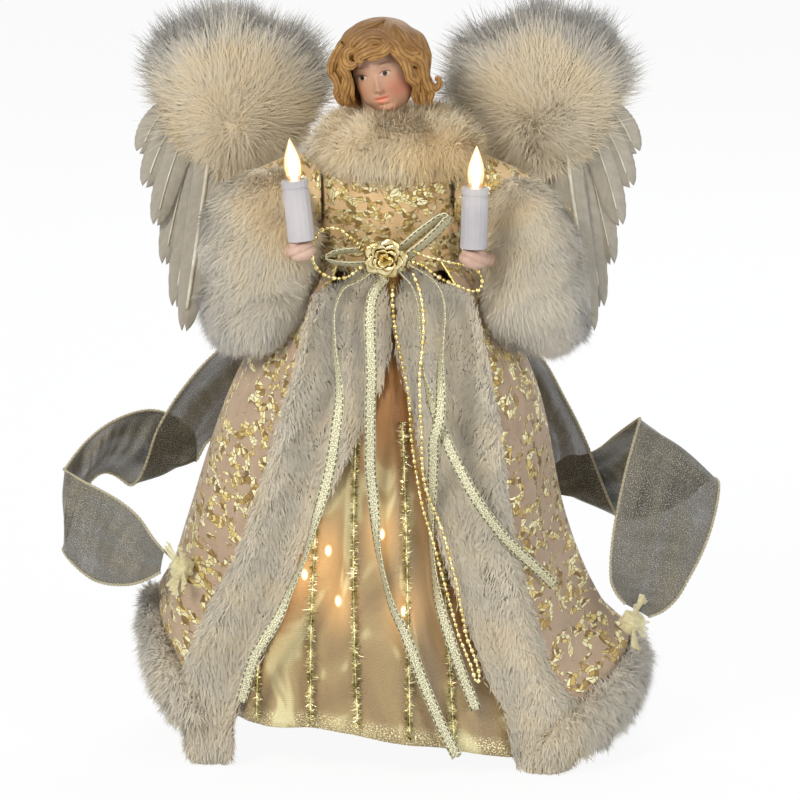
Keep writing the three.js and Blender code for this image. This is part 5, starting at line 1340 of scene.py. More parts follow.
def make_wing_fluff(name):
    side = SIDES[name]
    shift, width, depth = (by_share(FLUFF_SHARES, k) for k in (1, 2, 3))
    grid = []
    for i in range(41):
        up = between(-0.94, 0.94, i / 40)
        out = WING["x"] + WING["half_width"] * along(shift, up)
        middle = [side * out, WING["y"], WING["z"] + 0.82 * WING["half_height"] * up]
        half_width = max(WING["half_width"] * along(width, up) - 9, 3)
        half_depth = max(WING["half_depth"] * along(depth, up) - 4.5, 2)
        grid.append(oval_ring(middle, [1, 0, 0], [0, 1, 0], half_width, half_depth, 48))
    grid = np.array(grid)
    centre = np.array([side * WING["x"], WING["y"], WING["z"] - 12])

    def comb(points):
        away = (points - centre) * [1, 0.1, 1]
        return unit(away) * np.clip(np.linalg.norm(away, axis=1, keepdims=True) / 20, 0.3, 1) * 1.3

    def rim(points):
        away = (points - centre) / [WING["half_width"] * 0.78, WING["half_depth"], WING["half_height"]]
        return np.clip(np.linalg.norm(away * [1, 0, 1], axis=1), 0, 1.2)

    # Grey towards the rim, more so higher up: painted shade along the wing's outline
    def tint(points):
        high = np.clip((points[:, 2] - WING["z"] + 20) / 40, 0.25, 1)
        return 0.44 + 0.34 * high * smoothstep(0.72, 1.12, rim(points))

    def at_rim(points):
        return smoothstep(0.6, 0.95, rim(points)) * smoothstep(-28, 5, points[:, 2] - WING["z"])

    down = {**FUR_LOOK, "seed": 140 + side, "tufts": 11500, "comb": comb, "length": 8.5, "rise": 0.4,
            "curl": 0.4, "curl_size": 13, "spread": 1.2, "stray": 0.18, "droop": 0.04, "width": 0.3,
            "slot": "fluff", "tint": tint}
    # The rim's wisps are greyer still: painted shade along the outline
    wisps = {**down, "seed": 150 + side, "tufts": 1500, "strands": 9, "length": 15, "rise": 0.25,
             "spread": 0.5, "fan": -0.5, "stray": 0.1, "width": 0.2, "steps": LONG_STEPS, "where": at_rim,
             "tint": lambda points: tint(points) + 0.12}
    make_fur(f"wing_marabou_{name}", f"wing_fluff_{name}", grid, f"wing_{name}", down, wisps)


def feather_blade(name, root, tip, width, side, depth_at, body, curve, stem_radius):
    """One quill feather: a cupped vane with a notched edge along a curved quill."""
    root, tip = np.array(root, float), np.array(tip, float)
    run = unit(tip - root)
    across = unit(np.cross(run, [0, 1, 0]))
    rows, columns = 40, 12
    grid = []
    for i in range(rows + 1):
        t = i / rows
        bow = math.sin(math.pi * t)
        middle = between(root, tip, t) + across * curve * bow + [0, depth_at + 1.2 * bow, 0]
        half = width * min(1, (t / 0.16) ** 0.8) * max(0.02, 1 - t**5) ** 0.5 * (1 + 0.03 * math.sin(t * 75))
        row = []
        for j in range(columns + 1):
            s = 2 * j / columns - 1
            reach = half * s * (0.8 if s * side > 0 else 1)
            row.append(middle + across * reach + run * (3.5 * abs(s)) + [0, 1.3 * s * s, 0])
        grid.append(row)
    grid = np.array(grid)
    vane = cloth_piece(name, grid, LOOKS["feather"], body, thickness=0.25, scale=0.1)
    quill = grid[:, columns // 2] - [0, 0.5, 0]
    path = np.vstack([quill[0] - run * 4, quill[:-3]])
    stem = round_tube(f"{name}_quill", path, stem_radius, 8, LOOKS["quill"], body)


def make_wing_feathers(name):
    side, body = SIDES[name], f"wing_{name}"
    for k, (x, z) in enumerate(FEATHER_TIPS):
        share = k / (len(FEATHER_TIPS) - 1)
        root = [side * between(66, 84, share), WING["y"], between(252, 268, share)]
        layer = -3.2 if k == LONGEST_FEATHER else -1.8 + 1.3 * (k % 3)
        stem_radius = 0.8 if k == LONGEST_FEATHER else 0.3
        feather_blade(f"feather_{name}_{k + 1}", root, [side * x, WING["y"], z], between(8.2, 6.2, share),
                      side, layer, body, side * between(-2, 3, share), stem_radius)
    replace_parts(make_wing_card(name), f"wing_feathers_{name}")


# The card's outline with its arm, as shares of the wing's half width and half height from its middle
CARD_OUTLINE = [
    [-1.3, -0.87], [-1.3, -1.13], [-1, -1.09], [-0.3, -0.98], [0.2, -0.9], [0.55, -0.5], [0.62, 0],
    [0.4, 0.5], [0, 0.6], [-0.4, 0.46], [-0.68, 0], [-0.84, -0.6],
]
# The hinge's knuckle: its place, and its section as radii and heights
HINGE = {"x": 12, "z": 229, "section": [(1.6, -6), (2.8, -6), (2.8, 6), (1.6, 6), (1.6, -6)]}


def make_wing_card(name):
    """Card under the fluff, its arm to the hinge and its knuckle round the pin."""
    side, half_thickness = SIDES[name], 0.9
    x, z = np.array(CARD_OUTLINE).T
    ring = np.column_stack([side * (WING["x"] + x * WING["half_width"]), 0 * x,
                            WING["z"] + z * WING["half_height"]])
    count = len(ring)
    points = np.vstack([ring + [0, WING["y"] - half_thickness, 0], ring + [0, WING["y"] + half_thickness, 0]])
    j = np.arange(count)
    walls = np.stack([j, (j + 1) % count, count + (j + 1) % count, count + j], axis=1)
    front, back = np.arange(count)[None], count + np.arange(count)[None, ::-1]
    body = f"wing_{name}"
    card = make_piece(f"wing_card_{name}", points, [walls, front, back], LOOKS["card"], body, smooth=False)
    grid = []
    for turn in np.linspace(0, 2 * math.pi, 25):
        grid.append([[side * HINGE["x"] + r * math.sin(turn), WING["y"] - r * math.cos(turn), HINGE["z"] + up]
                     for r, up in HINGE["section"]])
    faces, _, _ = grid_faces(len(grid), len(HINGE["section"]))
    knuckle = make_piece(f"wing_knuckle_{name}", np.reshape(grid, (-1, 3)), [faces], LOOKS["card"], body)
    knuckle.modifiers.new("corners", "EDGE_SPLIT")
    return card


# Bodice and sleeves

BODICE = {"low": 201.5, "high": 249, "half_width": 29, "half_depth": 21, "armhole_x": 27.8}
# Shares of the way up the bodice, of its half width and of its half depth
BODICE_SHARES = [
    [0, 0.96, 0.95], [0.25, 0.95, 0.96], [0.5, 1, 1.04], [0.8, 1, 0.96], [0.93, 0.9, 0.82], [1, 0.64, 0.62],
]


def make_bodice():
    widths, depths = by_share(BODICE_SHARES, 1), by_share(BODICE_SHARES, 2)
    rows, columns = 36, 160
    grid = []
    for i in range(rows + 1):
        up = i / rows
        size = BODICE["half_width"] * along(widths, up), BODICE["half_depth"] * along(depths, up)
        z = between(BODICE["low"], BODICE["high"], up)
        low = float(smoothstep(223, 217, z))
        limit = BODICE["armhole_x"] + 4 * low
        row = []
        for j in range(columns):
            angle = 360 * j / columns - 180
            turn = math.radians(angle)
            pleat = 0.5 * (1 - up) ** 1.5 * math.sin(turn * 22 + math.sin(turn * 5))
            point = oval_point(angle, *size, z, pleat + 0.3 * math.sin(turn * 9 + up * 6) - 0.6)
            point[0] = max(-limit, min(limit, point[0] * (1 + 0.1 * low)))
            row.append(point)
        grid.append(row)
    bodice = cloth_piece("brocade_bodice", grid, LOOKS["bodice"], "figure", closed=True, thickness=0.9)
    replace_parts(bodice, "bodice")


# Places of a sleeve from the shoulder to inside the cuff, with its radius and direction there
SLEEVE = [
    [[27.3, 2, 232.5], 14.3, [1, 0, 0]], [[41, 2, 232.5], 14.3, [1, 0, -0.1]],
    [[56.5, 2, 224.3], 13, [1, -0.2, -0.7]], [[66, 2, 216], 11.8, [0.35, -0.4, -1]],
]


def make_sleeve(name):
    side, steps, columns = SIDES[name], 48, 64
    stations = [*SLEEVE, [[CUFF_X[name], -9.5, 199.9], 11.6, [-0.3, -0.7, -1]]]
    middles, _ = smooth_path([station[0] for station in stations], steps)
    around = np.linspace(0, 4 * math.pi, columns, endpoint=False)
    grid = []
    for at, middle in zip(np.linspace(0, len(stations) - 1, steps + 1), middles):
        i = min(int(at), len(stations) - 2)
        share = at - i
        radius = between(stations[i][1], stations[i + 1][1], share)
        forward = unit(between(unit(stations[i][2]), unit(stations[i + 1][2]), share))
        up = unit(np.array([0, 1, 0]) - forward * forward[1])
        across = np.cross(forward, up)
        ring = oval_ring(middle, up, across, radius, radius, columns)
        out = unit(ring - middle)
        wrinkle = 0.7 * np.sin(at * 5.2 + 2.2 * np.sin(around + at))
        seat = min(1, at * 2, (4 - at) * 2)
        ring = ring + out * ((wrinkle * seat - 0.6)[:, None])
        grid.append(ring * [side, 1, 1])
    sleeve = cloth_piece(f"brocade_sleeve_{name}", grid, LOOKS["bodice"], f"arm_{name}", closed=True,
                         thickness=0.9)
    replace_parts(sleeve, f"sleeve_{name}")


# Sheer ribbons and their knots

ORGANZA = {
    "left": [
        [[-177, 0.02, 0.018], [-177, 0.08, 0.018]], [[-164, 0.03, 0.022], [-164, 0.16, 0.03]],
        [[-144, 0.1, 0.16], [-150, 0.26, 0.1]], [[-126, 0.2, 0.4], [-139, 0.34, 0.24]],
        [[-116, 0.31, 0.61], [-133, 0.43, 0.42]], [[-114, 0.43, 0.81], [-129, 0.51, 0.54]],
        [[-112, 0.55, 0.9], [-124, 0.56, 0.58]], [[-112, 0.67, 0.93], [-122, 0.61, 0.58]],
        [[-112.5, 0.71, 1.05], [-123.5, 0.6, 0.67]], [[-113, 0.7, 1.18], [-124, 0.54, 0.8]],
        [[-111, 0.68, 1.33], [-118, 0.49, 1.13]],
        [[-107, 0.7, 1.38], [-111, 0.52, 1.39]], [[-103, 0.78, 1.38], [-107, 0.59, 1.58]],
        [[-97, 0.89, 1.27], [-101, 0.66, 1.58]], [[-92, 0.91, 1.2], [-95, 0.67, 1.48]],
        [[-86, 0.95, 0.85], [-91, 0.72, 0.96]], [[-81, 0.93, 0.66], [-85, 0.75, 0.6]],
        [[-75, 0.88, 0.48], [-77, 0.78, 0.38]], [[-70, 0.82, 0.36], [-71, 0.77, 0.36]],
    ],
    "right": [
        [[177, 0.02, 0.018], [177, 0.08, 0.018]], [[164, 0.03, 0.022], [164, 0.16, 0.03]],
        [[144, 0.1, 0.14], [150, 0.25, 0.1]], [[128, 0.19, 0.32], [141, 0.32, 0.22]],
        [[120, 0.29, 0.45], [136, 0.41, 0.37]], [[118, 0.39, 0.55], [130, 0.53, 0.5]],
        [[116, 0.5, 0.68], [129, 0.61, 0.48]], [[115, 0.62, 0.8], [129, 0.64, 0.46]],
        [[114, 0.73, 0.88], [128, 0.66, 0.46]], [[116, 0.75, 1.01], [132, 0.63, 0.63]],
        [[114, 0.75, 1.16], [127, 0.58, 0.75]], [[109, 0.73, 1.32], [119, 0.57, 0.85]],
        [[104, 0.69, 1.55], [111, 0.52, 0.97]], [[100, 0.63, 1.81], [104, 0.47, 1.13]],
        [[96, 0.63, 1.85], [98, 0.46, 1.09]], [[92, 0.69, 1.72], [92, 0.54, 0.88]],
        [[88, 0.76, 1.52], [86, 0.7, 0.59]], [[84, 0.83, 1.25], [81, 0.8, 0.42]],
        [[80, 0.9, 0.9], [76, 0.84, 0.42]], [[76, 0.91, 0.68], [74, 0.87, 0.52]],
    ],
}
ORGANZA_WIDTH = 38
# Knots: angle, share of the way down and share of the ribbon's width out from the coat
KNOTS = {"left": [-66.5, 0.79, 0.2], "right": [73, 0.91, 0.53]}
# Ways that a knot's short ends point, sideways and up
KNOT_ENDS = ((-0.9, 0.8), (0.75, 1.0), (-0.5, -1.1), (0.95, -0.6))


def make_organza(name):
    edges = []
    for k in (0, 1):
        points = [coat_point(*station[k][:2], station[k][2] * ORGANZA_WIDTH) for station in ORGANZA[name]]
        edges.append(smooth_path(points, 240)[0])
    first, second = edges
    columns = 28
    shares = np.linspace(0, 1, columns + 1)
    grid = first[:, None] * (1 - shares[None, :, None]) + second[:, None] * shares[None, :, None]
    middle = grid[:, columns // 2]
    normal = unit(np.cross(np.gradient(middle, axis=0), second - first))
    run = run_along(middle)
    inside = np.sin(math.pi * shares)
    fine = np.sin(run[:, None] * 0.9 + 3 * np.sin(run[:, None] * 0.11) + 1.6 * np.sin(shares[None, :] * 5))
    broad = np.sin(run[:, None] * 0.23 + 2 * shares[None, :])
    near = np.clip(np.minimum(run, run[-1] - run) / 12, 0.1, 1)[:, None]
    grid = grid + normal[:, None] * ((0.45 * fine + 1.1 * broad) * inside[None, :] * near)[..., None]
    ribbon = cloth_piece(f"sheer_ribbon_{name}", grid, LOOKS["organza"], "figure", thickness=0)
    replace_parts(ribbon, f"organza_ribbon_{name}")
    for edge, label in ((grid[:, 0], "a"), (grid[:, -1], "b")):
        path, _, _ = even_path(edge[::8], 0.5)
        piece = round_tube(f"stitched_edge_{name}_{label}", path, 0.55, 8, LOOKS["edge"], "figure", 0.28, 1.9)


def make_knot(name):
    """Crumpled ball of sheer yellow mesh with short pulled ends."""
    angle, down, out = KNOTS[name]
    middle = coat_point(angle, down, out * ORGANZA_WIDTH)
    normal = oval_normal(angle, *coat_size(angle, down))
    rows, columns, radius = 24, 36, 5.0
    tilts, turns = np.linspace(0.05, math.pi - 0.05, rows), turns_round(columns)
    ball = ball_points(tilts, turns) * [1, 0.75, 1]
    lumps = wave(ball.reshape(-1, 3), 0.5, 60).reshape(rows, columns, 1)
    creases = np.abs(np.sin(4 * turns[None, :] + 3 * tilts[:, None]))[..., None]
    grid = middle + ball * radius * (1 + 0.16 * lumps - 0.12 * creases)
    knot = cloth_piece(f"knot_{name}", grid, LOOKS["sheer_yellow"], "figure", closed=True, thickness=0)
    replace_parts(knot, f"organza_knot_{name}")
    across = unit(np.cross([0, 0, 1], normal))
    for k, (sideways, upward) in enumerate(KNOT_ENDS):
        heading = unit(across * sideways + np.array([0, 0, 1]) * upward + normal * 0.35)
        wide = unit(np.cross(heading, normal))
        flap = []
        for i in range(13):
            t = i / 12
            half = between(1.2, 4.2, t**0.7)
            root = middle + heading * (3 + 8.5 * t)
            flap.append([root + wide * half * s + normal * (1.1 * math.sin(9 * s + k) * t)
                         for s in np.linspace(-1, 1, 15)])
        piece = cloth_piece(f"knot_{name}_end_{k + 1}", flap, LOOKS["sheer_yellow"], "figure", thickness=0)


# Rose and bow

ROSE_PLACE = (-1, -29.6, 209.5)
# Layers of petals from the outside in: count, radius, half width in radians, lift, curl and depth
ROSE_LAYERS = [
    (5, 9.4, 0.68, 1.6, 1.2, 0.6), (5, 7.4, 0.72, 2.6, 0.9, 1.9), (4, 5.3, 0.85, 3.2, 0.6, 3.0),
    (3, 3.2, 1.1, 3.4, 0.2, 3.9),
]


def petal(turn, radius, half_width, lift, curl, depth):
    """Cupped petal about the rose's middle, its rim rolled back."""
    rows, columns = 12, 14
    grid = []
    for i in range(rows + 1):
        t = i / rows
        reach = radius * (0.15 + 0.85 * t)
        forward = depth + lift * t - curl * max(0, t - 0.6) ** 2 * 6
        half = half_width * math.sin(math.pi * min(1, 0.2 + 0.62 * t)) ** 0.8
        row = []
        for j in range(columns + 1):
            s = 2 * j / columns - 1
            angle = turn + s * half
            pull = reach * (1 - 0.1 * s * s) * (1 + 0.03 * math.sin(5 * s))
            y = -forward - 0.9 * s * s * (1 - t) - 0.35 * math.cos(3 * s) * t
            row.append([pull * math.cos(angle), y, pull * math.sin(angle)])
        grid.append(row)
    return np.array(grid) * [1, 1, 0.88] + ROSE_PLACE


def make_rose():
    for layer, (count, *shape) in enumerate(ROSE_LAYERS):
        for k in range(count):
            grid = petal(2 * math.pi * (k + 0.5 * (layer % 2)) / count + 0.3 * layer, *shape)
            piece = cloth_piece(f"rose_petal_{layer + 1}_{k + 1}", grid, LOOKS["gold"], "figure",
                                thickness=0.45)
    x, _, z = ROSE_PLACE
    stem = round_tube("rose_stem", [[x, y, z] for y in (-20.6, -25, -31.5)], 2.2, 16, LOOKS["gold"], "figure")
    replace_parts(stem, "rose")


# The loops' seat on the bodice and how far each reaches from it
BOW = {"x": 4.75, "y": -25.86, "z": 209.5, "reach": 20, "forward": -3, "rise": {"left": 0, "right": 17}}
# The way that each loop's width points: the right loop shows more of its face
BOW_FACING = {"left": (-0.15, -0.9, 0.45), "right": (-0.45, -0.7, 0.53)}


def make_bow():
    for name, side in SIDES.items():
        start = np.array([side * BOW["x"], BOW["y"], BOW["z"]])
        tip = start + [side * BOW["reach"], BOW["forward"], BOW["rise"][name]]
        middle, apart = (start + tip) / 2, np.array([0, 0, 2.5])
        route = [start - apart, middle - apart * 1.15, between(middle, tip, 0.75) - apart * 0.7, tip,
                 between(middle, tip, 0.75) + apart * 0.7, middle + apart * 1.15, start + apart]
        path, ahead, _ = even_path(route, 0.7)
        wide = np.tile(unit(BOW_FACING[name]), (len(path), 1))
        wide = unit(wide - ahead * (wide * ahead).sum(axis=1, keepdims=True))
        loop = tape_strip(f"tape_bow_{name}", path, wide, 5.6, "figure", look="bow")
        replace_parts(loop, f"bow_loop_{name}")


# Hands

# Middle of each fist, its half sizes, and the radius of its wrist
FISTS = {"left": (34.5, -45, 215.48), "right": (34.5, -45, 212.28)}
FIST_SIZE = (5.9, 5.2, 4.9)
WRIST_RADIUS = 2.9


def make_hand(name):
    """Rounded resin fist with slanting grooves between its fingers, and its wrist."""
    mirror, centre = [SIDES[name], 1, 1], np.array(FISTS[name])
    rows, columns = 49, 64
    ball = ball_points(np.linspace(0.02, math.pi - 0.02, rows), turns_round(columns))
    groove = np.abs(np.sin(3.4 * (ball[..., 2] + 0.55 * ball[..., 0]) + 0.4)) ** 0.6
    points = (ball * FIST_SIZE * (0.84 + 0.16 * groove)[..., None] + centre).reshape(-1, 3)
    faces, _, _ = grid_faces(rows, columns, True)
    palm = make_piece(f"palm_{name}", points * mirror, [faces], LOOKS["hand"], f"arm_{name}")
    x, y, z = centre
    end = np.array([between(x, CUFF_X[name], 0.3), between(y, CUFF["bottom"][1], 0.75), z - 4])
    wrist = make_wrist(name, [centre, between(centre, end, 0.5), end], mirror)
    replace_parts(palm, f"hand_{name}")


def make_wrist(name, route, mirror):
    sides = 16
    path, ahead, _ = even_path(route, 0.6)
    helper = unit(np.cross(ahead, [0.1, 0.2, 1]))
    other = np.cross(ahead, helper)
    size = WRIST_RADIUS * (1 + 0.07 * np.sin(np.linspace(0, 1, len(path)) * 9))
    turns = turns_round(sides)[None, :, None]
    around = helper[:, None] * np.cos(turns) + other[:, None] * np.sin(turns)
    points = (path[:, None] + around * size[:, None, None]).reshape(-1, 3)
    faces, _, _ = grid_faces(len(path), sides, True)
    ends = [np.arange(sides)[None, ::-1], (len(path) - 1) * sides + np.arange(sides)[None]]
    return make_piece(f"wrist_{name}", points * mirror, [faces, *ends], LOOKS["hand"], f"arm_{name}")


# Head: a face with painted features, moulded hair, and the neck with its shoulder plate.
# Its own axes: x to its left cheek's right, y back, z up, with the eyes at z = 0.

HEAD = {"place": (-4.2, -6.1, 282.4), "lean": 14.3, "turn": 9, "centre_x": 2.1, "half_width": 12.0,
        "half_depth": 12.2, "half_height": 16.4}
# Swellings and hollows of the face: x, z, amount, spread across and spread up.
# The pairs repeat on the other side.
FACE_PAIRS = [
    (5.0, 0.6, -1.3, 2.9, 1.6), (5.0, -0.1, 1.0, 2.0, 1.0), (5.3, 3.6, 0.5, 3.0, 0.9),
    (6.4, -5.2, 0.7, 3.4, 2.8),
]
FACE_FORMS = [
    (-0.5, -6.0, 0.6, 0.8, 0.8), (2.3, -6.0, 0.6, 0.8, 0.8), (0.9, -8.9, 0.75, 2.3, 0.6),
    (0.9, -11.1, 0.95, 2.0, 0.8), (0.9, -9.95, -0.45, 2.5, 0.25), (1.2, -12.7, -0.6, 2.4, 0.6),
    (2.3, -15.0, 2.2, 3.4, 1.8), (0.9, 1.2, -0.25, 1.2, 1.2), (0.9, -7.6, -0.25, 0.5, 0.7),
]
NOSE = {"x": 0.9, "tip_z": -6.2, "root_z": 2.0}


def head_axes():
    lean, turn = math.radians(HEAD["lean"]), math.radians(HEAD["turn"])
    up = np.array([-math.sin(lean), 0, math.cos(lean)])
    right, back = np.array([math.cos(lean), 0, math.sin(lean)]), np.array([0, 1, 0])
    sine, cosine = math.sin(turn), math.cos(turn)
    return np.array([right * cosine - back * sine, right * sine + back * cosine, up])


def from_head(points):
    """Points of the head's own axes as points about the cone's axis."""
    return np.asarray(points, float) @ head_axes() + HEAD["place"]


def face_relief(x, z):
    """How far the face stands out beyond its plain oval."""
    total = np.zeros_like(x)
    forms = FACE_FORMS + FACE_PAIRS + [(-at_x, *rest) for at_x, *rest in FACE_PAIRS]
    for at_x, at_z, amount, wide, high in forms:
        total += amount * np.exp(-((x - at_x) / wide) ** 2 - ((z - at_z) / high) ** 2)
    rise = smoothstep(NOSE["root_z"], NOSE["tip_z"] + 0.6, z)
    ridge = rise * smoothstep(NOSE["tip_z"] - 1.2, NOSE["tip_z"], z)
    width = between(1.0, 1.5, smoothstep(2, -6, z))
    return total + (0.5 + 2.0 * rise) * ridge * np.exp(-((x - NOSE["x"]) / width) ** 2)


def make_face():
    rows, columns = 180, 220
    tilt = np.linspace(-math.pi / 2 + 0.01, math.pi / 2 - 0.01, rows)[:, None]
    share = np.linspace(-1, 1, columns, endpoint=False)[None, :]
    turn = math.pi * np.sign(share) * np.abs(share) ** 1.35
    height = HEAD["half_height"] * np.sin(tilt) * np.ones_like(turn)
    low = smoothstep(2, -10, height)
    jaw = 1 - 0.13 * smoothstep(-9.5, -16, height)
    x = HEAD["centre_x"] + HEAD["half_width"] * np.cos(tilt) ** (0.86 - 0.36 * low) * np.sin(turn) * jaw
    y = 0.6 - HEAD["half_depth"] * np.cos(tilt) ** (0.9 - 0.4 * low) * np.cos(turn) * (1 - 0.04 * low)
    facing = np.cos(turn) * np.ones_like(height)
    y = y - face_relief(x, height) * smoothstep(-0.05, 0.45, facing)
    grid = np.stack([x, y, height], axis=-1)
    faces, corner_rows, corner_columns = grid_faces(rows, columns, True)
    corners = corner_rows, corner_columns % columns
    flat = np.stack([x, height], axis=-1)[corners] * FACE_MAP_SCALE + 0.5
    flat[facing[corners] < 0] = [0.9, 0.5]
    face = make_piece("painted_face", from_head(grid.reshape(-1, 3)), [faces], LOOKS["face"], "figure",
                      {"Face": flat})
    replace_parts(face, "head")


# Radii and heights of the shoulder plate and the neck
NECK = [
    (0.5, 240.3), (14, 240.3), (14, 241.5), (12.5, 243), (9.4, 245), (8, 249), (7.3, 256), (7.2, 264),
    (7.4, 272),
]


def make_neck():
    """Neck and shoulder plate in one turned form, leaning into the head."""
    rings = []
    for radius, z in NECK:
        bend = max(0, z - 250) / 22
        rings.append(oval_ring([-4 * bend, -1.5 * bend, z], [1, 0, 0], [0, 1, 0], radius, radius, 40))
    faces, _, _ = grid_faces(len(rings), 40, True)
    neck = make_piece("neck_and_plate", np.array(rings).reshape(-1, 3), [faces], LOOKS["skin"], "figure")
    subdivide(neck)


HAIR_CAP = {"middle": (2.0, 1.5, 3.2), "half": (19.6, 16.6, 18.6)}
# Tilts and reaches of the wavy locks, from the crown to the nape
NAPE_STEPS = ((44, 0.96), (20, 1.0), (-4, 1.01), (-22, 0.97), (-40, 1.06), (-52, 1.12))
NAPE_HALF = (19, 16.4, 18.6)
NAPE_RADII = [0.9, 2.4, 2.8, 2.8, 2.6, 0.9]


def hair_lock(route, radii, seed):
    """Grooved tapering lock along points of the head's own axes: rings of points and how deep each lies."""
    steps = 36
    path, ahead = smooth_path(route, steps)
    shares = np.linspace(0, 1, steps + 1)
    size = np.interp(shares, np.linspace(0, 1, len(radii)), radii)
    from_middle = path - [2, 1.5, 2]
    out = unit(from_middle - ahead * (from_middle * ahead).sum(axis=1, keepdims=True))
    side = np.cross(ahead, out)
    turns = turns_round(40)[None, :]
    twist = seed + 1.6 * np.sin(6 * shares[:, None] + seed)
    strand = np.abs(np.sin(3.5 * turns + twist))
    radius = size[:, None] * (0.82 + 0.2 * strand**0.7)
    points = (path[:, None] + side[:, None] * (radius * np.cos(turns))[..., None] * 1.2
              + out[:, None] * (radius * np.sin(turns))[..., None] * 0.78)
    return points, strand


# Locks that curl over the brow and down beside the face: points of the head's own axes, and radii
HAIR_LOCKS = [
    ([[10.1, -10.2, 13.1], [7.3, -10.4, 15.5], [3.7, -10.6, 16.6], [-0.1, -10.8, 16.5], [-3.2, -10.9, 15.8],
      [-5.4, -11.2, 14.4], [-5.6, -12.0, 12.6], [-3.4, -12.7, 12.3]], [1.0, 2.2, 2.4, 2.2, 1.8, 0.7]),
    ([[7.0, -12.1, 12.9], [3.4, -12.3, 14.0], [0.0, -12.7, 13.8], [-2.5, -12.8, 13.0], [-4.6, -12.6, 11.0]],
     [0.8, 1.9, 2.0, 1.7, 0.6]),
    ([[8.6, -12.3, 11.8], [5.4, -13.5, 10.2], [1.8, -13.7, 10.8], [-1.4, -13.7, 10.4], [-3.4, -13.9, 8.8],
      [-2.2, -14.2, 6.6]], [1.0, 2.1, 2.3, 2.2, 1.9, 0.6]),
    ([[-3.6, -12.5, 12.6], [-7.2, -11.4, 12.4], [-9.3, -11.1, 10.2], [-9.1, -12.1, 7.6], [-7.0, -13.0, 6.6],
      [-4.6, -13.6, 7.2]], [1.0, 2.3, 2.5, 2.2, 1.7, 0.6]),
    ([[11.2, -11.6, 10.6], [8.2, -12.9, 9.6], [5.2, -13.7, 8.7], [2.6, -14.0, 8.1], [0.2, -14.2, 7.4]],
     [1.0, 1.9, 1.9, 1.5, 0.5]),
    ([[10.4, -10.6, 13.4], [12.4, -10.9, 10.2], [13.6, -11.1, 7.2], [16.0, -9.6, 5.2], [18.2, -7.1, 4.4],
      [20.6, -3.8, 4.6]], [1.1, 2.3, 2.3, 2.3, 2.2, 1.0]),
    ([[9.6, -12.2, 9.2], [12.0, -12.0, 6.6], [13.9, -11.2, 3.4], [14.6, -10.2, -0.2], [14.4, -9.1, -3.6],
      [15.4, -7.4, -6.6], [14.6, -5.6, -10.4]], [0.9, 1.9, 2.1, 2.0, 2.0, 1.9, 1.3]),
    ([[13.6, -10.6, 5.2], [16.6, -8.8, 3.4], [18.9, -6.0, 1.2], [19.4, -4.0, -2.8], [19.2, -3.4, -7.2],
      [20.4, -3.2, -10.4], [22.4, -3.0, -11.4], [24.2, -3.0, -10.2], [24.4, -3.0, -8.2],
      [23.0, -3.0, -7.4]],
     [1.3, 2.4, 2.6, 2.6, 2.5, 2.3, 2.0, 1.7, 1.3, 0.6]),
    ([[15.6, -8.6, -1.2], [16.4, -6.5, -5.3], [15.2, -4.6, -9.4], [13.6, -3.6, -12.8], [13.6, -3.2, -16.2]],
     [1.5, 2.2, 2.2, 2.0, 0.9]),
    ([[18.2, -4.6, -2.0], [18.0, -3.0, -7.0], [17.2, -2.4, -11.4], [16.0, -2.2, -14.4], [15.8, -2.0, -17.4]],
     [1.7, 2.4, 2.3, 2.1, 0.9]),
    ([[19.2, -1.0, -4.5], [19.6, -0.5, -9.5], [19.6, -0.4, -12.9], [18.4, -0.4, -15.4], [18.2, -0.4, -17.9]],
     [1.8, 2.4, 2.3, 2.1, 0.9]),
    ([[-9.2, -8.2, 15.6], [-12.6, -7.7, 12.1], [-15.6, -6.0, 8.6], [-17.4, -4.2, 4.8], [-16.2, -5.0, 1.8],
      [-16.0, -4.6, -1.4], [-17.6, -3.2, -4.5], [-17.2, -3.2, -7.6], [-16.6, -3.2, -10.0]],
     [1.4, 2.4, 2.7, 2.7, 2.5, 2.5, 2.5, 2.1, 0.9]),
    ([[-7.8, -11.1, 12.0], [-10.5, -10.6, 9.0], [-11.4, -10.4, 5.6], [-10.6, -10.6, 2.4], [-11.8, -9.4, -0.8],
      [-13.6, -7.4, -4.2], [-14.6, -5.0, -8.1], [-14.2, -4.4, -11.0]],
     [1.2, 2.2, 2.3, 2.1, 2.2, 2.2, 2.1, 0.8]),
    ([[-10.0, -10.6, 4.6], [-9.9, -10.2, 1.0], [-10.2, -9.6, -2.2], [-11.0, -8.4, -5.2], [-10.8, -7.2, -8.2]],
     [0.9, 1.4, 1.5, 1.3, 0.5]),
    ([[8.6, -3.0, 20.6], [4.2, -6.4, 20.0], [-0.4, -8.4, 18.8], [-4.6, -9.2, 16.9], [-8.4, -9.4, 13.8]],
     [0.8, 1.9, 2.1, 2.1, 0.9]),
    ([[12.4, -5.0, 17.6], [15.4, -6.3, 13.6], [17.4, -6.4, 9.8], [19.6, -4.6, 6.4], [21.0, -1.6, 3.2],
      [20.4, -1.4, -0.6]], [0.9, 2.0, 2.2, 2.3, 2.1, 1.2]),
]


def nape_locks():
    """Wavy locks down the sides and back, from under the crown to the nape."""
    locks = []
    for k in range(17):
        turn = math.radians(78 + 12.75 * k)
        points = []
        for step, (tilt, reach) in enumerate(NAPE_STEPS):
            at = turn + 0.11 * math.sin(step * 2.1 + k * 1.7)
            flat = reach * math.cos(math.radians(tilt))
            way = [flat * math.sin(at), -flat * math.cos(at), reach * math.sin(math.radians(tilt))]
            points.append(np.array(HAIR_CAP["middle"]) + np.array(NAPE_HALF) * way)
        locks.append((points, NAPE_RADII))
    return locks


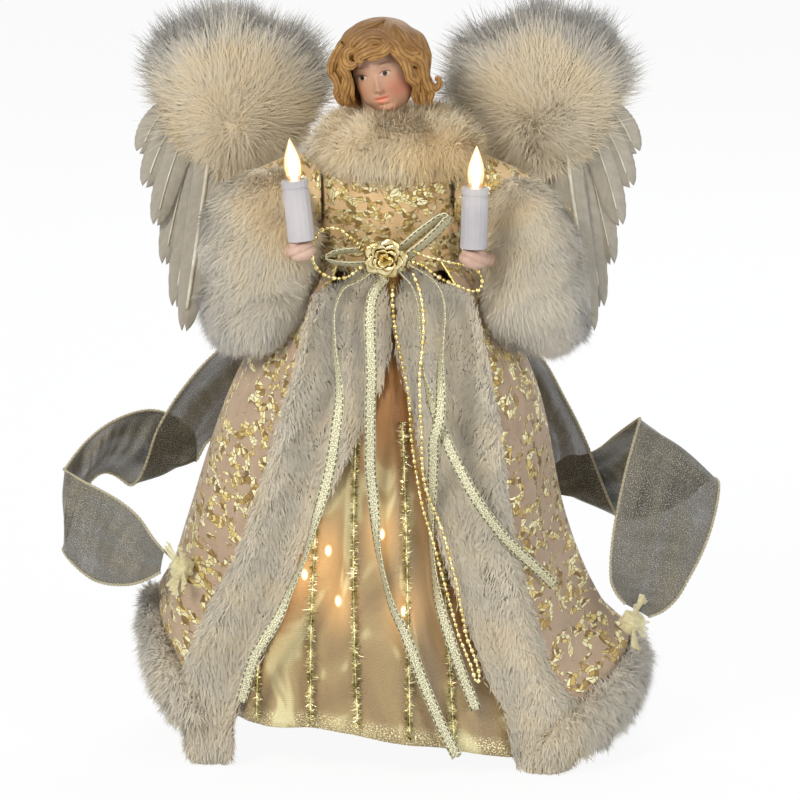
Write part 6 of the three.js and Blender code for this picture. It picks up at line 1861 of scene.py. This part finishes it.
def hair_cap():
    """Cap of combed hair from the crown to the hairline, turned in to the head at its rim."""
    rows, columns = 46, 180
    turn = np.linspace(-math.pi, math.pi, columns, endpoint=False)[None, :]
    front = smoothstep(0.15, 0.85, np.cos(turn))
    lowest = between(-0.55, 0.34, front)
    share = np.linspace(0, 1, rows)[:, None]
    tilt = between(lowest, math.pi / 2 - 0.01, share)
    waves = np.sin(7 * turn + 5 * np.sin(3.2 * tilt)) * np.cos(tilt)
    strands = np.abs(np.sin(24 * turn + 9 * np.sin(2.4 * tilt + turn)))
    size = 1 + 0.02 * waves * (1 - share**4) + 0.012 * strands * (1 - share**3)
    size = size * between(0.82, 1, smoothstep(0, 0.06, share))
    flat, level = np.cos(tilt), np.ones_like(turn)
    ball = np.stack([flat * np.sin(turn), -flat * np.cos(turn), np.sin(tilt) * level], axis=-1)
    return ball * size[..., None] * HAIR_CAP["half"] + HAIR_CAP["middle"], 0.25 + 0.75 * strands


def make_hair():
    parts = [hair_cap()]
    for k, (route, radii) in enumerate(HAIR_LOCKS + nape_locks()):
        parts.append(hair_lock(route, radii, 0.7 * k))
    points, faces, grooves, first = [], [], [], 0
    for grid, depth in parts:
        rows, columns = grid.shape[:2]
        own, own_rows, own_columns = grid_faces(rows, columns, True, first)
        faces.append(own)
        value = depth[own_rows, own_columns % columns]
        grooves.append(np.stack([value, own_rows / rows], axis=-1).reshape(-1, 2))
        points.append(grid.reshape(-1, 3))
        first += rows * columns
    hair = make_piece("moulded_hair", from_head(np.vstack(points)), faces, LOOKS["hair"], "figure",
                      {"Groove": np.vstack(grooves)})


# Stage: a white floor and backdrop, soft lamps in metres and watts

WHITE = (1, 1, 1, 1)
SKY = {"Color": (0.9, 0.95, 1.0, 1), "Strength": 0.36}
LAMPS = {
    "key": {"place": (-0.9, -1.3, 1.3), "aim": 0.16, "size": 0.7, "power": 22, "colour": (1.0, 0.97, 0.92)},
    "fill": {"place": (1.3, -1.2, 0.6), "aim": 0.15, "size": 1.0, "power": 7.5, "colour": (0.95, 0.97, 1.0)},
    "back": {"place": (0.3, 1.2, 1.4), "aim": 0.2, "size": 0.9, "power": 14, "colour": (0.92, 0.96, 1.0)},
}


def make_floor():
    bpy.ops.mesh.primitive_plane_add(size=6, location=(0, 0, -0.0004))
    floor = bpy.context.object
    floor.name = "floor"
    look = Look("white_floor", **{"Roughness": 0.9, "Base Color": srgb(250, 250, 250)})
    lit = look.shader.outputs[0]
    white = look.add("ShaderNodeEmission", {"Color": WHITE, "Strength": 1.0}).outputs[0]
    whole = look.blend(look.seen(), lit, look.blend(0.93, lit, white))
    look.link(whole, look.output.inputs["Surface"])
    floor.data.materials.append(look.material)


def make_world():
    bpy.context.scene.view_settings.view_transform = "Standard"
    world = bpy.data.worlds.new("studio")
    bpy.context.scene.world = world
    world.use_nodes = True
    nodes = Nodes(world.node_tree)
    sky = nodes.add("ShaderNodeBackground", SKY).outputs[0]
    white = nodes.add("ShaderNodeBackground", {"Color": WHITE, "Strength": 1.0}).outputs[0]
    nodes.link(nodes.blend(nodes.seen(), sky, white), nodes.add("ShaderNodeOutputWorld").inputs[0])


def make_lamp(name, place, aim, size, power, colour):
    """Round lamp that points at a height on the figure's axis."""
    data = bpy.data.lights.new(name, "AREA")
    data.shape = "DISK"
    data.size = size
    data.energy = power
    data.color = colour
    lamp = bpy.data.objects.new(name, data)
    bpy.context.collection.objects.link(lamp)
    lamp.location = place
    x, y, z = np.array([0, 0, aim]) - np.array(place)
    lamp.rotation_euler = (math.atan2(math.hypot(x, y), -z), 0, math.atan2(y, x) - math.pi / 2)


make_floor()
make_world()
for name, lamp in LAMPS.items():
    make_lamp(name, **lamp)

make_tails()
make_beads()
make_satin()
make_coat()
make_tinsel()
make_face()
make_neck()
make_hair()
make_fur_hem()
make_collar()
make_bodice()
make_rose()
make_bow()
for name in SIDES:
    make_fur_band(name)
    make_cuff(name)
    make_sleeve(name)
    make_hand(name)
    make_wing_fluff(name)
    make_wing_feathers(name)
    make_organza(name)
    make_knot(name)
